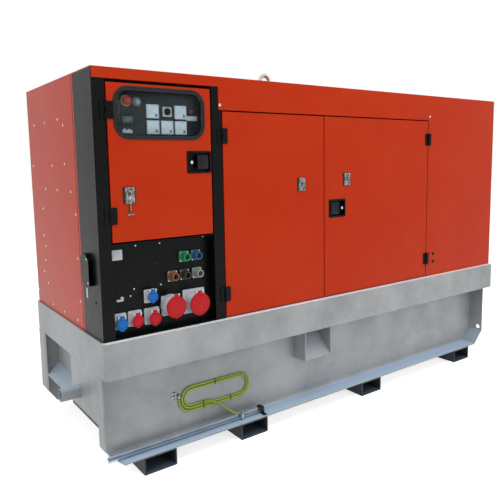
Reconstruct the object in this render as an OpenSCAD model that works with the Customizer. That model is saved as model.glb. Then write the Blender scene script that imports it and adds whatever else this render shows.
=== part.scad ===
// Diesel generator set: sheet-steel canopy on a galvanised tank base with hollow skid feet.
// Lengths are in millimetres. +X runs along the set, +Y from the door side to the rear, +Z up.
// The origin lies on the ground below the middle of the whole set.

/* [Canopy] */
// Length of the canopy
canopy_l = 3520; // [3300:10:3800]
// Depth of the canopy, door face to rear face
canopy_w = 1190; // [1050:10:1300]
// Height of the canopy above the deck
canopy_h = 1400; // [1390:10:1500]
// Thickness of the insulated canopy walls
wall_t = 30; // [20:1:40]
// Thickness of folded sheet steel
sheet_t = 4; // [3:0.5:6]
// Height of the fascia over the control bay
fascia_h = 55; // [40:1:70]
// Gap round each door
door_gap = 8; // [6:0.5:10]
// Depth of the door pans
door_t = 35; // [25:1:45]

/* [Control bay] */
// Width of the corner post on the door side
post_w = 67; // [50:1:90]
// Width of the corner post on the end side
post_end_w = 272; // [200:1:320]
// Clear width between the two posts
bay_w = 620; // [600:1:660]
// Width of the centre post beside the service doors
centre_post_w = 65; // [50:1:80]
// Height of the control door's lower edge above the deck
control_door_z = 517; // [500:1:560]
// Gap between the control door and the fascia
head_gap = 18; // [12:1:30]
// Depth of the sockets and instruments behind the door face
bay_depth = 60; // [56:1:90]
// Width of the control door's window frame
window_w = 536; // [460:1:556]
// Height of the control door's window frame
window_h = 272; // [240:1:300]
// Corner radius of the window frame
window_r = 84; // [50:1:100]
// Distance from the door's top edge to the window frame
window_drop = 12; // [8:1:30]
// Width of the rubber window frame
gasket_w = 22; // [16:1:30]
// Width and height of the panel meters
meter_side = 72; // [72:24:96]
// Gap between neighbouring meters
meter_gap = 12; // [8:1:16]

/* [Service doors] */
// Height of the service doors' top edge above the deck
service_door_top = 1208; // [1100:1:1300]
// Width of the left service door
left_door_w = 785; // [700:1:850]
// Width of the right service door
right_door_w = 1077; // [900:1:1150]

/* [Latches] */
// Width of a paddle latch's tray
latch_w = 154; // [130:1:160]
// Height of a paddle latch's tray
latch_h = 122; // [100:1:140]
// Depth of a paddle latch's pocket
latch_depth = 26; // [18:1:30]
// Distance of the control door's latch from its free edge
latch_edge = 3; // [2:1:20]
// Width of a padlock hasp
hasp_w = 52; // [40:1:70]
// Height of a padlock hasp
hasp_h = 84; // [70:1:100]

/* [Hinges] */
// Height of a hinge
hinge_h = 88; // [60:1:110]
// Width of a hinge leaf
leaf_w = 25; // [20:1:26]
// Thickness of a hinge leaf
leaf_t = 5; // [3:0.5:6]
// Radius of the hinge knuckles
knuckle_r = 8; // [6:0.5:9]
// Radius of the hinge pins
pin_r = 3.5; // [2.5:0.5:5]
// Radial play of the hinge pins
pin_play = 0.08; // [0.05:0.01:0.1]
// Distance from a door's ends to its hinges
hinge_inset = 94; // [70:1:140]

/* [Base] */
// Height of the rim band
rim_h = 200; // [150:5:250]
// Reach of the rim beyond the canopy's ends
rim_over_end = 10; // [5:1:30]
// Reach of the rim beyond the canopy's sides
rim_over_side = 34; // [34:1:60]
// Radius of the rim's corners
rim_r = 30; // [10:1:50]
// Thickness of the rim, deck and tank plates
plate_t = 6; // [4:1:10]
// Height of the tank below the rim
tank_h = 490; // [400:10:600]
// Width of the folded strip round each tank side
strip_w = 120; // [80:5:140]
// Thickness of the folded strips
strip_t = 8; // [6:1:12]
// Distance of the strips behind the rim's face
strip_set = 20; // [10:1:40]
// Size of the sloped lower corners of the strips
corner_cut = 105; // [60:5:140]
// Distance of the tank's right end inside the rim
right_inset = 105; // [60:5:150]
// Distance of the tank's left end wall inside the rim
left_inset = 85; // [50:5:120]

/* [Feet] */
// Height of a skid foot
foot_h = 100; // [80:5:140]
// Width of a skid foot
foot_w = 200; // [160:5:240]
// Wall thickness of a skid foot
foot_t = 8; // [6:1:12]

/* [Left end] */
// Width of the flush plate beside the front strip, which carries the pipe
pipe_plate_w = 368; // [300:1:450]
// Height of the left end down to its lower lip
lip_h = 291; // [250:1:350]
// Rise of the recess's sloped floor above the lip
recess_rise = 70; // [40:5:100]
// Outer radius of the drain pipe
pipe_r = 38; // [25:1:45]
// Wall thickness of the drain pipe
pipe_t = 4; // [3:0.5:6]
// Reach of the drain pipe beyond the rim
pipe_reach = 110; // [40:5:150]

/* [Side pockets] */
// Width of a side pocket
pocket_w = 235; // [180:5:280]
// Height of a side pocket at its mouth
pocket_h = 205; // [150:5:250]
// Rise of a side pocket's floor
pocket_rise = 95; // [60:5:120]

/* [Lifting eye] */
// Radius of the lifting eye's bar
eye_bar_r = 14; // [10:1:16]
// Radius of the lifting eye's bend at the bar's centre
eye_r = 40; // [34:1:60]
// Height of the lifting eye above the roof
eye_h = 155; // [110:5:200]

/* [Right end] */
// Height of the raised cover on the right end
cover_h = 960; // [800:10:1100]
// Thickness of the raised cover
cover_t = 8; // [5:1:10]
// Reach of the cover's latch beyond the rim
latch_reach = 22; // [16:1:30]

/* [Earthing] */
// Radius of the earth lead
lead_r = 6.5; // [5:0.5:8]
// Length of the earth rod
rod_l = 1046; // [1040:1:1060]
// Width across the earth rod's arms
rod_w = 36; // [30:1:40]
// Clearance of the rod and the lead in their clips
clip_play = 0.3; // [0.2:0.1:1]

/* [Sockets] */
// Radius of a small socket's lid
small_lid_r = 33; // [31:1:35]
// Radius of a large socket's lid
large_lid_r = 61; // [56:1:62]
// Distance of a small lid's face from the socket panel
small_reach = 55; // [50:1:70]
// Distance of a large lid's face from the socket panel
large_reach = 88; // [80:1:92]
// Pitch of the power connectors
connector_pitch = 82; // [76:1:90]
// Reach of a power connector from the socket panel
connector_reach = 50; // [40:1:54]
// Outer radius of a power connector's barrel
connector_r = 22; // [18:1:26]
// Radius of a power connector's bore
connector_bore_r = 16; // [12:1:17]

/* [Hidden] */
$fn = 48;
eps = 0.01;

// Colours
orange = "#c33c1c";
black = "#26292c";
zinc = "#a2a5a6";
chrome = "#c9ccce";

// Levels above the ground
tank_z = foot_h;
rim_z = tank_z + tank_h;
deck_z = rim_z + rim_h;

// Places along the canopy, from its left end
bay_x = post_w;
centre_post_x = bay_x + bay_w;
control_door_x = bay_x + door_gap;
control_door_w = bay_w - 2 * door_gap;
control_door_h = canopy_h - fascia_h - head_gap - control_door_z;
control_door_top = control_door_z + control_door_h;
left_door_x = centre_post_x + centre_post_w + door_gap;
right_door_x = left_door_x + left_door_w + door_gap;
panel_x = right_door_x + right_door_w + door_gap;
header_z = service_door_top + door_gap;
header_x = centre_post_x + 48;
service_door_h = service_door_top - door_gap;
roof_sheet_t = 6;
roof_z = canopy_h - roof_sheet_t;

// Base outlines, in canopy coordinates
rim_l = canopy_l + 2 * rim_over_end;
rim_w = canopy_w + 2 * rim_over_side;
strip_y = -rim_over_side + strip_set;
tank_y = strip_y + strip_w;
tank_w = canopy_w - 2 * tank_y;
strip_x0 = -rim_over_end;
strip_x1 = canopy_l + rim_over_end - right_inset;
tank_x0 = -rim_over_end + left_inset;
foot_xs = [192, 844, 1910, strip_x1 - 197 - foot_w];

// Hinge pins stand this far off the sheet, and the leaves start this far beside them
pin_y = -(knuckle_r + 2);
leaf_x = knuckle_r + 1;

// Everything is drawn from the canopy's lower front left corner
canopy_x0 = (pipe_reach - latch_reach) / 2 - canopy_l / 2;
canopy_y0 = -canopy_w / 2;

module placed() {
    translate([canopy_x0, canopy_y0, deck_z]) children();
}

// Same piece on the door side and the rear side
module both_sides() {
    children();
    translate([0, canopy_w, 0]) mirror([0, 1, 0]) children();
}

// Rounded rectangle with its lower left corner at the origin
module round_rect(w, h, r) {
    translate([r, 0]) square([w - 2 * r, h]);
    translate([0, r]) square([w, h - 2 * r]);
    for (x = [r, w - r], y = [r, h - r]) translate([x, y]) circle(r);
}

// Draws a front view outline, from depth y0 back to y1
module front_slab(y0, y1) {
    translate([0, y1, 0]) rotate([90, 0, 0]) linear_extrude(y1 - y0) children();
}

// Draws a plan outline, from height z0 up to z1
module plan_slab(z0, z1) {
    translate([0, 0, z0]) linear_extrude(z1 - z0) children();
}

// Bar of round section along X
module bar_x(r, l) {
    rotate([0, 90, 0]) cylinder(r = r, h = l);
}

// ---------------------------------------------------------------- canopy shell

module roof_panel() {
    color(orange) placed() {
        translate([0, 0, roof_z]) cube([canopy_l, canopy_w, roof_sheet_t]);
        translate([wall_t, wall_t, roof_z - wall_t])
            cube([canopy_l - 2 * wall_t, canopy_w - 2 * wall_t, wall_t + eps]);
        // fascia over the control bay
        translate([sheet_t, 0, canopy_h - fascia_h])
            cube([header_x - sheet_t, wall_t + eps, fascia_h - eps]);
    }
}

module door_header() {
    color(orange) placed()
        translate([header_x, 0, header_z]) cube([panel_x - header_x, wall_t, roof_z - header_z]);
}

// Folded sheet: a broad end face, a front face and a jamb beside the control bay
module corner_post() {
    color(black) placed() {
        translate([0, sheet_t, 0]) cube([sheet_t, post_end_w - sheet_t, roof_z]);
        cube([sheet_t, sheet_t + eps, roof_z]);
        plan_slab(0, canopy_h - fascia_h) polygon([
            [sheet_t, 0], [post_w, 0], [post_w, bay_depth + 20], [post_w - sheet_t, bay_depth + 20],
            [post_w - sheet_t, sheet_t], [sheet_t, sheet_t]
        ]);
        translate([0, post_end_w - sheet_t, 0]) cube([wall_t, sheet_t, roof_z]);
    }
}

// Channel with its open side to the rear; the header laps over its upper right edge
module centre_post() {
    color(black) placed() {
        front_slab(0, sheet_t) polygon([
            [centre_post_x, 0], [centre_post_x + centre_post_w, 0],
            [centre_post_x + centre_post_w, header_z], [header_x, header_z],
            [header_x, canopy_h - fascia_h], [centre_post_x, canopy_h - fascia_h]
        ]);
        translate([centre_post_x, sheet_t - eps, 0])
            cube([sheet_t, bay_depth + 20 - sheet_t, canopy_h - fascia_h]);
        translate([centre_post_x + centre_post_w - sheet_t, sheet_t - eps, 0])
            cube([sheet_t, bay_depth + 20 - sheet_t, header_z]);
    }
}

module right_front_panel() {
    color(orange) placed()
        translate([panel_x, 0, 0]) cube([canopy_l - panel_x, wall_t, roof_z]);
}

module left_end_panel() {
    groove_y = post_end_w + 18;
    color(orange) placed() difference() {
        translate([0, post_end_w, 0]) cube([wall_t, canopy_w - post_end_w - wall_t, roof_z]);
        translate([-1, groove_y, -1]) cube([5, 7, roof_z + 2]);
    }
}

module right_end_panel() {
    color(orange) placed()
        translate([canopy_l - wall_t, wall_t, 0]) cube([wall_t, canopy_w - 2 * wall_t, roof_z]);
}

module right_end_cover() {
    side = 60;
    reach = rim_over_end + latch_reach;
    color(orange) placed() {
        translate([canopy_l, side, 40]) cube([cover_t, canopy_w - 2 * side, cover_h - 40]);
        translate([canopy_l + cover_t - eps, side + 10, 740])
            cube([reach - cover_t, 30, 90]);
    }
}

module rear_wall() {
    groove = 4;
    color(orange) placed() difference() {
        translate([0, canopy_w - wall_t, 0]) cube([canopy_l, wall_t, roof_z]);
        // seams of the two rear doors, which stay shut
        for (x = [left_door_x, right_door_x, panel_x])
            translate([x - door_gap, canopy_w - groove, door_gap])
                cube([door_gap, groove + 1, service_door_h]);
        for (z = [0, service_door_top])
            translate([left_door_x - door_gap, canopy_w - groove, z])
                cube([panel_x - left_door_x + door_gap, groove + 1, door_gap]);
        translate([0, canopy_w, 0]) mirror([0, 1, 0]) at_right_latch() paddle_hole();
    }
}

module lifting_eye() {
    leg = eye_h - eye_r - eye_bar_r;
    color(chrome) placed() translate([1517, canopy_w / 2, canopy_h]) {
        translate([0, 0, leg]) rotate([90, 0, 0])
            rotate_extrude(angle = 180) translate([eye_r, 0]) circle(eye_bar_r);
        for (side = [-1, 1])
            translate([side * eye_r, 0, 0]) cylinder(r = eye_bar_r, h = leg + eps);
        translate([-eye_r - 30, -35, 0]) cube([2 * eye_r + 60, 70, 10]);
    }
}

// Hood on the corner post, open towards the door side
module side_hood() {
    depth = 24;
    t = 3;
    color(black) placed() translate([-depth, 104, 286]) rotate([90, 0, 90]) difference() {
        linear_extrude(depth)
            polygon([[0, 0], [102, 0], [118, 16], [118, 138], [92, 166], [42, 166], [0, 138]]);
        translate([0, 0, t]) linear_extrude(depth) polygon([
            [-1, t], [102 - t, t], [118 - t, 17], [118 - t, 137], [92 - t, 166 - t], [43, 166 - t],
            [-1, 137 - t]
        ]);
    }
}

// ---------------------------------------------------------------- hinges

// Heights of the two hinges of a door that starts at z0 and is h high
function hinge_zs(z0, h) = [z0 + hinge_inset, z0 + h - hinge_inset - hinge_h];

// Fixed half of a hinge: leaf to the left of the pin, two knuckles and the pin
module hinge_fixed() {
    third = hinge_h / 3;
    translate([-leaf_w - leaf_x, -leaf_t, 0]) cube([leaf_w, leaf_t, hinge_h]);
    for (z = [0, 2 * third]) translate([0, pin_y, z]) {
        cylinder(r = knuckle_r, h = third);
        translate([-leaf_w / 2, -1, 0]) cube([leaf_w / 2, knuckle_r - 1, third]);
    }
    translate([0, pin_y, 0]) cylinder(r = pin_r, h = hinge_h);
}

// Moving half of a hinge: leaf to the right of the pin and the middle knuckle
module hinge_moving() {
    third = hinge_h / 3;
    play = 1;
    difference() {
        union() {
            translate([leaf_x, -leaf_t, 0]) cube([leaf_w, leaf_t, hinge_h]);
            translate([0, pin_y, third + play]) {
                cylinder(r = knuckle_r, h = third - 2 * play);
                translate([0, -1, 0]) cube([leaf_w / 2, knuckle_r - 1, third - 2 * play]);
            }
        }
        translate([0, pin_y, -1]) cylinder(r = pin_r + pin_play, h = hinge_h + 2);
    }
}

// Hinge of a door that stays shut, as one piece
module hinge_shut() {
    translate([-leaf_w - leaf_x, -leaf_t, 0]) cube([2 * (leaf_w + leaf_x), leaf_t, hinge_h]);
    translate([0, pin_y, 0]) cylinder(r = knuckle_r, h = hinge_h);
    translate([-leaf_w / 2, pin_y + 2, 0]) cube([leaf_w, -pin_y - 2 - leaf_t + 1, hinge_h]);
}

// Fixed hinge halves on the door side; hinges and latch of the rear doors
module canopy_fittings() {
    pin_left = left_door_x - door_gap / 2;
    pin_right = right_door_x + right_door_w + door_gap / 2;
    color(black) placed() {
        for (z = hinge_zs(control_door_z, control_door_h))
            translate([control_door_x - door_gap / 2, 0, z]) hinge_fixed();
        for (z = hinge_zs(door_gap, service_door_h)) {
            translate([pin_left, 0, z]) hinge_fixed();
            translate([pin_right, 0, z]) mirror([1, 0, 0]) hinge_fixed();
        }
        translate([0, canopy_w, 0]) mirror([0, 1, 0]) {
            for (x = [pin_left, pin_right], z = hinge_zs(door_gap, service_door_h))
                translate([x, 0, z]) hinge_shut();
            at_right_latch() paddle_latch();
        }
    }
}

// ---------------------------------------------------------------- doors

// Folded door pan: front sheet with a return all round
module door_pan(w, h) {
    difference() {
        cube([w, door_t, h]);
        translate([sheet_t, sheet_t, sheet_t]) cube([w - 2 * sheet_t, door_t, h - 2 * sheet_t]);
    }
}

latch_rim = 8;
latch_wall = 2;
latch_seat = 0.3;

// Hole in a door for a paddle latch
module paddle_hole() {
    c = latch_rim - latch_seat;
    translate([c, -1, c]) cube([latch_w - 2 * c, latch_depth + 1 + latch_seat, latch_h - 2 * c]);
}

// Flush paddle latch: a rimmed pocket that holds the paddle and the lock
module paddle_latch() {
    pocket_w = latch_w - 2 * latch_rim;
    pocket_h = latch_h - 2 * latch_rim;
    difference() {
        union() {
            front_slab(-3, 0) round_rect(latch_w, latch_h, 8);
            translate([latch_rim, -eps, latch_rim]) cube([pocket_w, latch_depth, pocket_h]);
        }
        translate([latch_rim + latch_wall, -4, latch_rim + latch_wall])
            cube([pocket_w - 2 * latch_wall, latch_depth + 4 - latch_wall, pocket_h - 2 * latch_wall]);
    }
    // paddle, with its pivot block behind it
    translate([latch_w * 0.42, 0, latch_rim + 18])
        front_slab(-2, 5) round_rect(latch_w * 0.46, pocket_h - 30, 5);
    translate([latch_w * 0.5, 4, latch_rim + 40])
        cube([latch_w * 0.3, latch_depth - 4 - latch_wall + eps, pocket_h - 60]);
    // lock
    translate([latch_w * 0.2, latch_depth - latch_wall + eps, latch_h / 2])
        rotate([90, 0, 0]) cylinder(r = 9, h = latch_depth - latch_wall);
}

// Padlock hasp: plate and staple
module padlock_hasp() {
    front_slab(-3, 0) round_rect(hasp_w, hasp_h, 5);
    translate([hasp_w / 2, -3 + eps, hasp_h / 2]) rotate([180, -90, 0])
        rotate_extrude(angle = 180) translate([12, 0]) circle(4);
}

// Hasp with a hanging tee bolt
module tee_bolt_hasp() {
    drop = 62;
    bar = 5;
    front_slab(-3, 0) round_rect(hasp_w, hasp_h, 5);
    translate([6, -3 - bar + eps, hasp_h * 0.5]) bar_x(bar, hasp_w - 12);
    translate([hasp_w / 2, -3 - bar, bar - drop]) cylinder(r = bar, h = hasp_h * 0.5 + drop - bar);
    translate([hasp_w / 2 - 18, -3 - bar, bar - drop]) bar_x(bar, 36);
}

control_latch_x = control_door_x + control_door_w - latch_edge - latch_w;
control_latch_z = control_door_z + 346;

module at_control_latch() {
    translate([control_latch_x, 0, control_latch_z]) children();
}

// The lock of this latch is on its hinge side
module at_right_latch() {
    translate([right_door_x + 38 + latch_w, 0, door_gap + 533]) mirror([1, 0, 0]) children();
}

module window_outline(inset) {
    translate([
        control_door_x + (control_door_w - window_w) / 2 - 2 + inset,
        control_door_top - window_drop - window_h + inset
    ])
        round_rect(window_w - 2 * inset, window_h - 2 * inset, window_r - inset);
}

module control_door() {
    color(orange) placed() difference() {
        translate([control_door_x, 0, control_door_z]) door_pan(control_door_w, control_door_h);
        front_slab(-1, sheet_t + 1) window_outline(gasket_w / 2);
        at_control_latch() paddle_hole();
    }
}

module window_gasket() {
    color("#1a1b1d") placed() {
        front_slab(-6, 0) difference() {
            window_outline(0);
            window_outline(gasket_w);
        }
        front_slab(-eps, sheet_t + 4) difference() {
            window_outline(gasket_w / 2);
            window_outline(gasket_w);
        }
    }
}

module window_glass() {
    color("#bcd0d6") placed() front_slab(1, 5) window_outline(gasket_w);
}

module control_door_fittings() {
    color(black) placed() {
        for (z = hinge_zs(control_door_z, control_door_h))
            translate([control_door_x - door_gap / 2, 0, z]) hinge_moving();
        at_control_latch() paddle_latch();
    }
}

module control_door_hasp() {
    color(chrome) placed()
        translate([control_door_x + 77, 0, control_door_z + 199]) tee_bolt_hasp();
}

module service_door_left() {
    color(orange) placed()
        translate([left_door_x, 0, door_gap]) door_pan(left_door_w, service_door_h);
}

module left_door_fittings() {
    color(black) placed()
        for (z = hinge_zs(door_gap, service_door_h))
            translate([left_door_x - door_gap / 2, 0, z]) hinge_moving();
}

module left_door_hasp() {
    color(chrome) placed()
        translate([left_door_x + left_door_w - 218, 0, door_gap + 724]) padlock_hasp();
}

module service_door_right() {
    color(orange) placed() difference() {
        translate([right_door_x, 0, door_gap]) door_pan(right_door_w, service_door_h);
        at_right_latch() paddle_hole();
    }
}

module right_door_fittings() {
    color(black) placed() {
        for (z = hinge_zs(door_gap, service_door_h))
            translate([right_door_x + right_door_w + door_gap / 2, 0, z])
                mirror([1, 0, 0]) hinge_moving();
        at_right_latch() paddle_latch();
    }
}

module right_door_hasp() {
    color(chrome) placed()
        translate([right_door_x + 179, 0, door_gap + 745]) padlock_hasp();
}

// ---------------------------------------------------------------- control bay

shelf_z = control_door_z - door_gap - sheet_t;

module instrument_panel() {
    color(black) placed()
        translate([bay_x, bay_depth, shelf_z + sheet_t])
            cube([bay_w, sheet_t, canopy_h - fascia_h - shelf_z - sheet_t]);
}

// Meters in three columns, with the selector's place left free in the upper row
module panel_meters() {
    bezel = 6;
    pitch = meter_side + meter_gap;
    color("#c8d2da") placed()
        for (p = [[0, 1], [2, 1], [0, 0], [1, 0], [2, 0]])
            translate([bay_x + 248 + p[0] * pitch, bay_depth, control_door_z + 560 + p[1] * pitch])
                difference() {
                    translate([0, -10, 0]) cube([meter_side, 10, meter_side]);
                    translate([bezel, -11, bezel])
                        cube([meter_side - 2 * bezel, 3, meter_side - 2 * bezel]);
                }
}

// Emergency stop, key switch, selector, display and terminal block
module panel_controls() {
    color("#b8202a") placed() translate([bay_x, bay_depth, control_door_z]) {
        translate([137, 0, 729]) rotate([90, 0, 0]) {
            cylinder(r = 25, h = 4);
            cylinder(r = 9, h = 14);
            translate([0, 0, 12]) cylinder(r = 18, h = 10);
        }
        translate([198, 0, 726]) rotate([90, 0, 0]) {
            cylinder(r = 21, h = 4);
            cylinder(r = 15, h = 14);
        }
        translate([345, -4, 656]) cube([52, 4, 50]);
        translate([371, -4 + eps, 680]) rotate([90, 0, 0]) cylinder(r = 13, h = 12);
        translate([109, -6, 617]) cube([62, 6, 34]);
        translate([109, -12, 564]) cube([54, 12, 14]);
        translate([491, -3, 639]) cube([66, 3, 22]);
    }
}

// Niche below the control door: back sheet, top shelf and bottom shelf
module socket_panel() {
    color(black) placed() {
        translate([bay_x, bay_depth, 0]) cube([bay_w, sheet_t, shelf_z]);
        translate([bay_x, 0, shelf_z - eps]) cube([bay_w, bay_depth + sheet_t, sheet_t + eps]);
        translate([bay_x, 0, 0]) cube([bay_w, bay_depth + eps, sheet_t]);
    }
}

// Each socket: its lid's centre from the canopy's left end and the deck, the lid's radius, its
// reach, the flange's width and height, the flange's rise over the lid's centre and the sleeves
SOCKETS = [
    [112, 76, small_lid_r, small_reach, 80, 86, 9, 3],
    [202, 79, small_lid_r, small_reach, 80, 86, 8, 3],
    [302, 76, small_lid_r + 3, small_reach + 3, 90, 92, 8, 5],
    [296, 197, small_lid_r - 3, small_reach - 3, 72, 74, 0, 3],
    [418, 128, large_lid_r, large_reach, 110, 114, -2, 5],
    [569, 122, large_lid_r + 3, large_reach, 142, 140, 6, 5]
];
function lid_r(s) = s[2];
function reach(s) = s[3];
function collar_l(s) = reach(s) - lid_t - lid_seat;
lid_t = 12;
lid_pin_r = 2.5;
lid_seat = 0.3;
mouth_l = 14;
mouth_wall = 5;
ear_x = 14;
ear_t = 9;
function lid_pin_z(s) = lid_r(s) + 7;
function lid_pin_y(s) = -reach(s) + lid_t;

// Flange, open collar with its contact sleeves, and two ears that hold the lid's pin
module socket_body(s) {
    w = s[4];
    h = s[5];
    r = lid_r(s) - 4;
    bore = r - mouth_wall;
    l = collar_l(s);
    well = bore - 5;
    well_l = 14;
    difference() {
        union() {
            translate([-w / 2, 0, s[6] - h / 2]) front_slab(-8, 0) round_rect(w, h, 8);
            rotate([90, 0, 0]) cylinder(r = r, h = l);
            rotate([90, 0, 0]) cylinder(r = r + 3, h = 14);
        }
        translate([0, -l + mouth_l, 0]) rotate([90, 0, 0]) cylinder(r = bore, h = mouth_l + 1);
        translate([0, -l + mouth_l + well_l, 0]) rotate([90, 0, 0]) cylinder(r = well, h = well_l + 1);
    }
    // contact sleeves
    n = s[7];
    for (i = [0 : n - 1]) rotate([0, 360 / n * i, 0])
        translate([0, -l + mouth_l + well_l + eps, -well * 0.6])
            rotate([90, 0, 0]) cylinder(r = well * 0.2, h = well_l - 1);
    for (x = [-ear_x - ear_t, ear_x])
        translate([x, 0, 0]) rotate([90, 0, 90]) linear_extrude(ear_t) {
            polygon([
                [-l, r - 10], [-l + 16, r - 10], [-l + 6, lid_pin_z(s)], [-l, lid_pin_z(s)]
            ]);
            translate([lid_pin_y(s), lid_pin_z(s)]) circle(6);
        }
    translate([-ear_x - ear_t, lid_pin_y(s), lid_pin_z(s)]) bar_x(lid_pin_r, 2 * (ear_x + ear_t));
}

module socket_bodies() {
    color("#8f959a") placed()
        for (s = SOCKETS) translate([s[0], bay_depth, s[1]]) socket_body(s);
}

// Beaded, domed lid with a grip below and a lug that turns on the pin
module socket_lid(s) {
    r = lid_r(s);
    lug_w = 24;
    translate([s[0], bay_depth, s[1]]) difference() {
        union() {
            translate([0, -reach(s) + lid_t, 0]) rotate([90, 0, 0]) rotate_extrude() polygon([
                [0, 0], [r, 0], [r, 6], [r - 2, 8], [r - 5, 8], [r - 7, 6.5],
                [r - 10, 9], [r * 0.5, lid_t - 1], [r * 0.2, lid_t], [0, lid_t]
            ]);
            translate([-8, -reach(s) + 5, -r - 3]) cube([16, 7, 9]);
            translate([-lug_w / 2, -reach(s) + 2, r - 8]) cube([lug_w, lid_t - 2, 14]);
            translate([-lug_w / 2, lid_pin_y(s), lid_pin_z(s)]) bar_x(5.5, lug_w);
        }
        translate([-lug_w, lid_pin_y(s), lid_pin_z(s)]) bar_x(lid_pin_r + pin_play, 2 * lug_w);
    }
}

module numbered_lid(i, colour) {
    color(colour) placed() socket_lid(SOCKETS[i]);
}

// Single-pole power connectors: flange, barrel, stepped bore and contact
module power_connectors() {
    side = 62;
    row_rise = 104;
    mouth = 24;
    depth = 40;
    color("#3a3f44") placed()
        for (p = [[0.06, 0], [1, 0], [2, 0], [1, 1], [1.93, 1]])
            translate([432 + p[0] * connector_pitch, bay_depth, 289 + p[1] * row_rise]) {
                difference() {
                    union() {
                        translate([-side / 2, 0, -side / 2]) front_slab(-8, 0) round_rect(side, side, 9);
                        rotate([90, 0, 0]) cylinder(r = connector_r, h = connector_reach);
                        rotate([90, 0, 0]) cylinder(r = connector_r + 4, h = 18);
                    }
                    translate([0, mouth - connector_reach, 0]) rotate([90, 0, 0])
                        cylinder(r = connector_bore_r, h = mouth + 1);
                    translate([0, depth - connector_reach, 0]) rotate([90, 0, 0])
                        cylinder(r = connector_bore_r - 4, h = depth);
                }
                translate([0, depth - connector_reach + eps, 0]) rotate([90, 0, 0])
                    cylinder(r = connector_bore_r - 10, h = depth - mouth);
            }
}

// ---------------------------------------------------------------- base

// Rim outline in plan, inset on the ends and on the sides
module rim_outline(inset) {
    translate([-rim_over_end + inset, -rim_over_side + inset])
        round_rect(rim_l - 2 * inset, rim_w - 2 * inset, rim_r - inset);
}

// Welded tray: deck, rim band and the flange that carries the tank
module rim_frame() {
    color(zinc) placed() {
        plan_slab(-plate_t, 0) rim_outline(0);
        plan_slab(-rim_h + plate_t - eps, -plate_t + eps) difference() {
            rim_outline(0);
            rim_outline(plate_t);
        }
        plan_slab(-rim_h, -rim_h + plate_t) difference() {
            rim_outline(0);
            translate([tank_x0 + plate_t, tank_y + plate_t]) square([
                strip_x1 - 2 * plate_t - tank_x0, tank_w - 2 * plate_t
            ]);
        }
    }
}

// Front view of the strips, with both lower corners sloped
module strip_outline() {
    polygon([
        [strip_x0, -rim_h], [strip_x0, -rim_h - tank_h + corner_cut],
        [strip_x0 + corner_cut, -rim_h - tank_h], [strip_x1 - corner_cut, -rim_h - tank_h],
        [strip_x1, -rim_h - tank_h + corner_cut], [strip_x1, -rim_h]
    ]);
}

module tank_side_walls() {
    color(zinc) placed() both_sides() front_slab(tank_y, tank_y + plate_t) strip_outline();
}

// Left end: a recess with a sloped floor above the lip, the undercut below it, and a flush plate
module tank_left_end() {
    z0 = -rim_h - tank_h;
    lip_z = -rim_h - lip_h;
    slope = lip_z - z0;
    t = plate_t * sqrt(2);
    y0 = tank_y + plate_t;
    color(zinc) placed() {
        front_slab(y0, canopy_w - y0) polygon([
            [tank_x0, -rim_h], [tank_x0, lip_z + recess_rise], [strip_x0, lip_z + 4],
            [strip_x0, lip_z], [strip_x0 + slope, z0], [strip_x0 + slope + t, z0],
            [strip_x0 + slope + t, z0 + plate_t], [strip_x0 + plate_t + t, lip_z + 4],
            [tank_x0 + plate_t, lip_z + recess_rise - 4], [tank_x0 + plate_t, -rim_h]
        ]);
        front_slab(y0, y0 + pipe_plate_w) polygon([
            [tank_x0 + eps, -rim_h], [strip_x0, -rim_h], [strip_x0, lip_z + 1],
            [tank_x0 + eps, lip_z + recess_rise]
        ]);
    }
}

module tank_right_end() {
    z0 = -rim_h - tank_h;
    color(zinc) placed() front_slab(tank_y + plate_t, canopy_w - tank_y - plate_t) polygon([
        [strip_x1, -rim_h], [strip_x1, z0 + corner_cut], [strip_x1 - corner_cut, z0],
        [strip_x1 - corner_cut - plate_t * 1.5, z0],
        [strip_x1 - corner_cut - plate_t * 1.5, z0 + plate_t],
        [strip_x1 - plate_t, z0 + corner_cut + plate_t * 0.5], [strip_x1 - plate_t, -rim_h]
    ]);
}

module tank_floor() {
    x0 = strip_x0 + tank_h - lip_h + plate_t * sqrt(2);
    x1 = strip_x1 - corner_cut - plate_t * 1.5;
    color(zinc) placed()
        translate([x0, tank_y + plate_t, -rim_h - tank_h]) cube([x1 - x0, tank_w - 2 * plate_t, plate_t]);
}

// Folded strip round the lower edge of a tank side
module skid_strip() {
    cut_in = strip_t * (sqrt(2) - 1);
    z0 = -rim_h - tank_h;
    front_slab(strip_y, tank_y) difference() {
        strip_outline();
        polygon([
            [strip_x0 + strip_t, -rim_h + 1],
            [strip_x0 + strip_t, z0 + corner_cut + cut_in],
            [strip_x0 + corner_cut + cut_in, z0 + strip_t],
            [strip_x1 - corner_cut - cut_in, z0 + strip_t],
            [strip_x1 - strip_t, z0 + corner_cut + cut_in],
            [strip_x1 - strip_t, -rim_h + 1]
        ]);
    }
}

ledge_z = -rim_h - tank_h + strip_t;
rod_x = 9;
rod_y = strip_y + strip_w / 2;

// The earth rod passes through a notch in the front strip's left slope
module skid_strips() {
    notch_w = rod_w + 2;
    color(zinc) placed() {
        difference() {
            skid_strip();
            translate([strip_x0 - 1, rod_y - notch_w / 2, ledge_z])
                cube([corner_cut + strip_t, notch_w, rod_w + 1]);
        }
        translate([0, canopy_w, 0]) mirror([0, 1, 0]) skid_strip();
    }
}

// Hollow feet across the base, open at both ends for forks
module skid_feet() {
    l = canopy_w - 2 * strip_y;
    color("#3a4046") placed()
        for (x = foot_xs) translate([x, strip_y, -deck_z]) difference() {
            cube([foot_w, l, foot_h]);
            translate([foot_t, -1, foot_t]) cube([foot_w - 2 * foot_t, l + 2, foot_h - 2 * foot_t]);
        }
}

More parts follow.
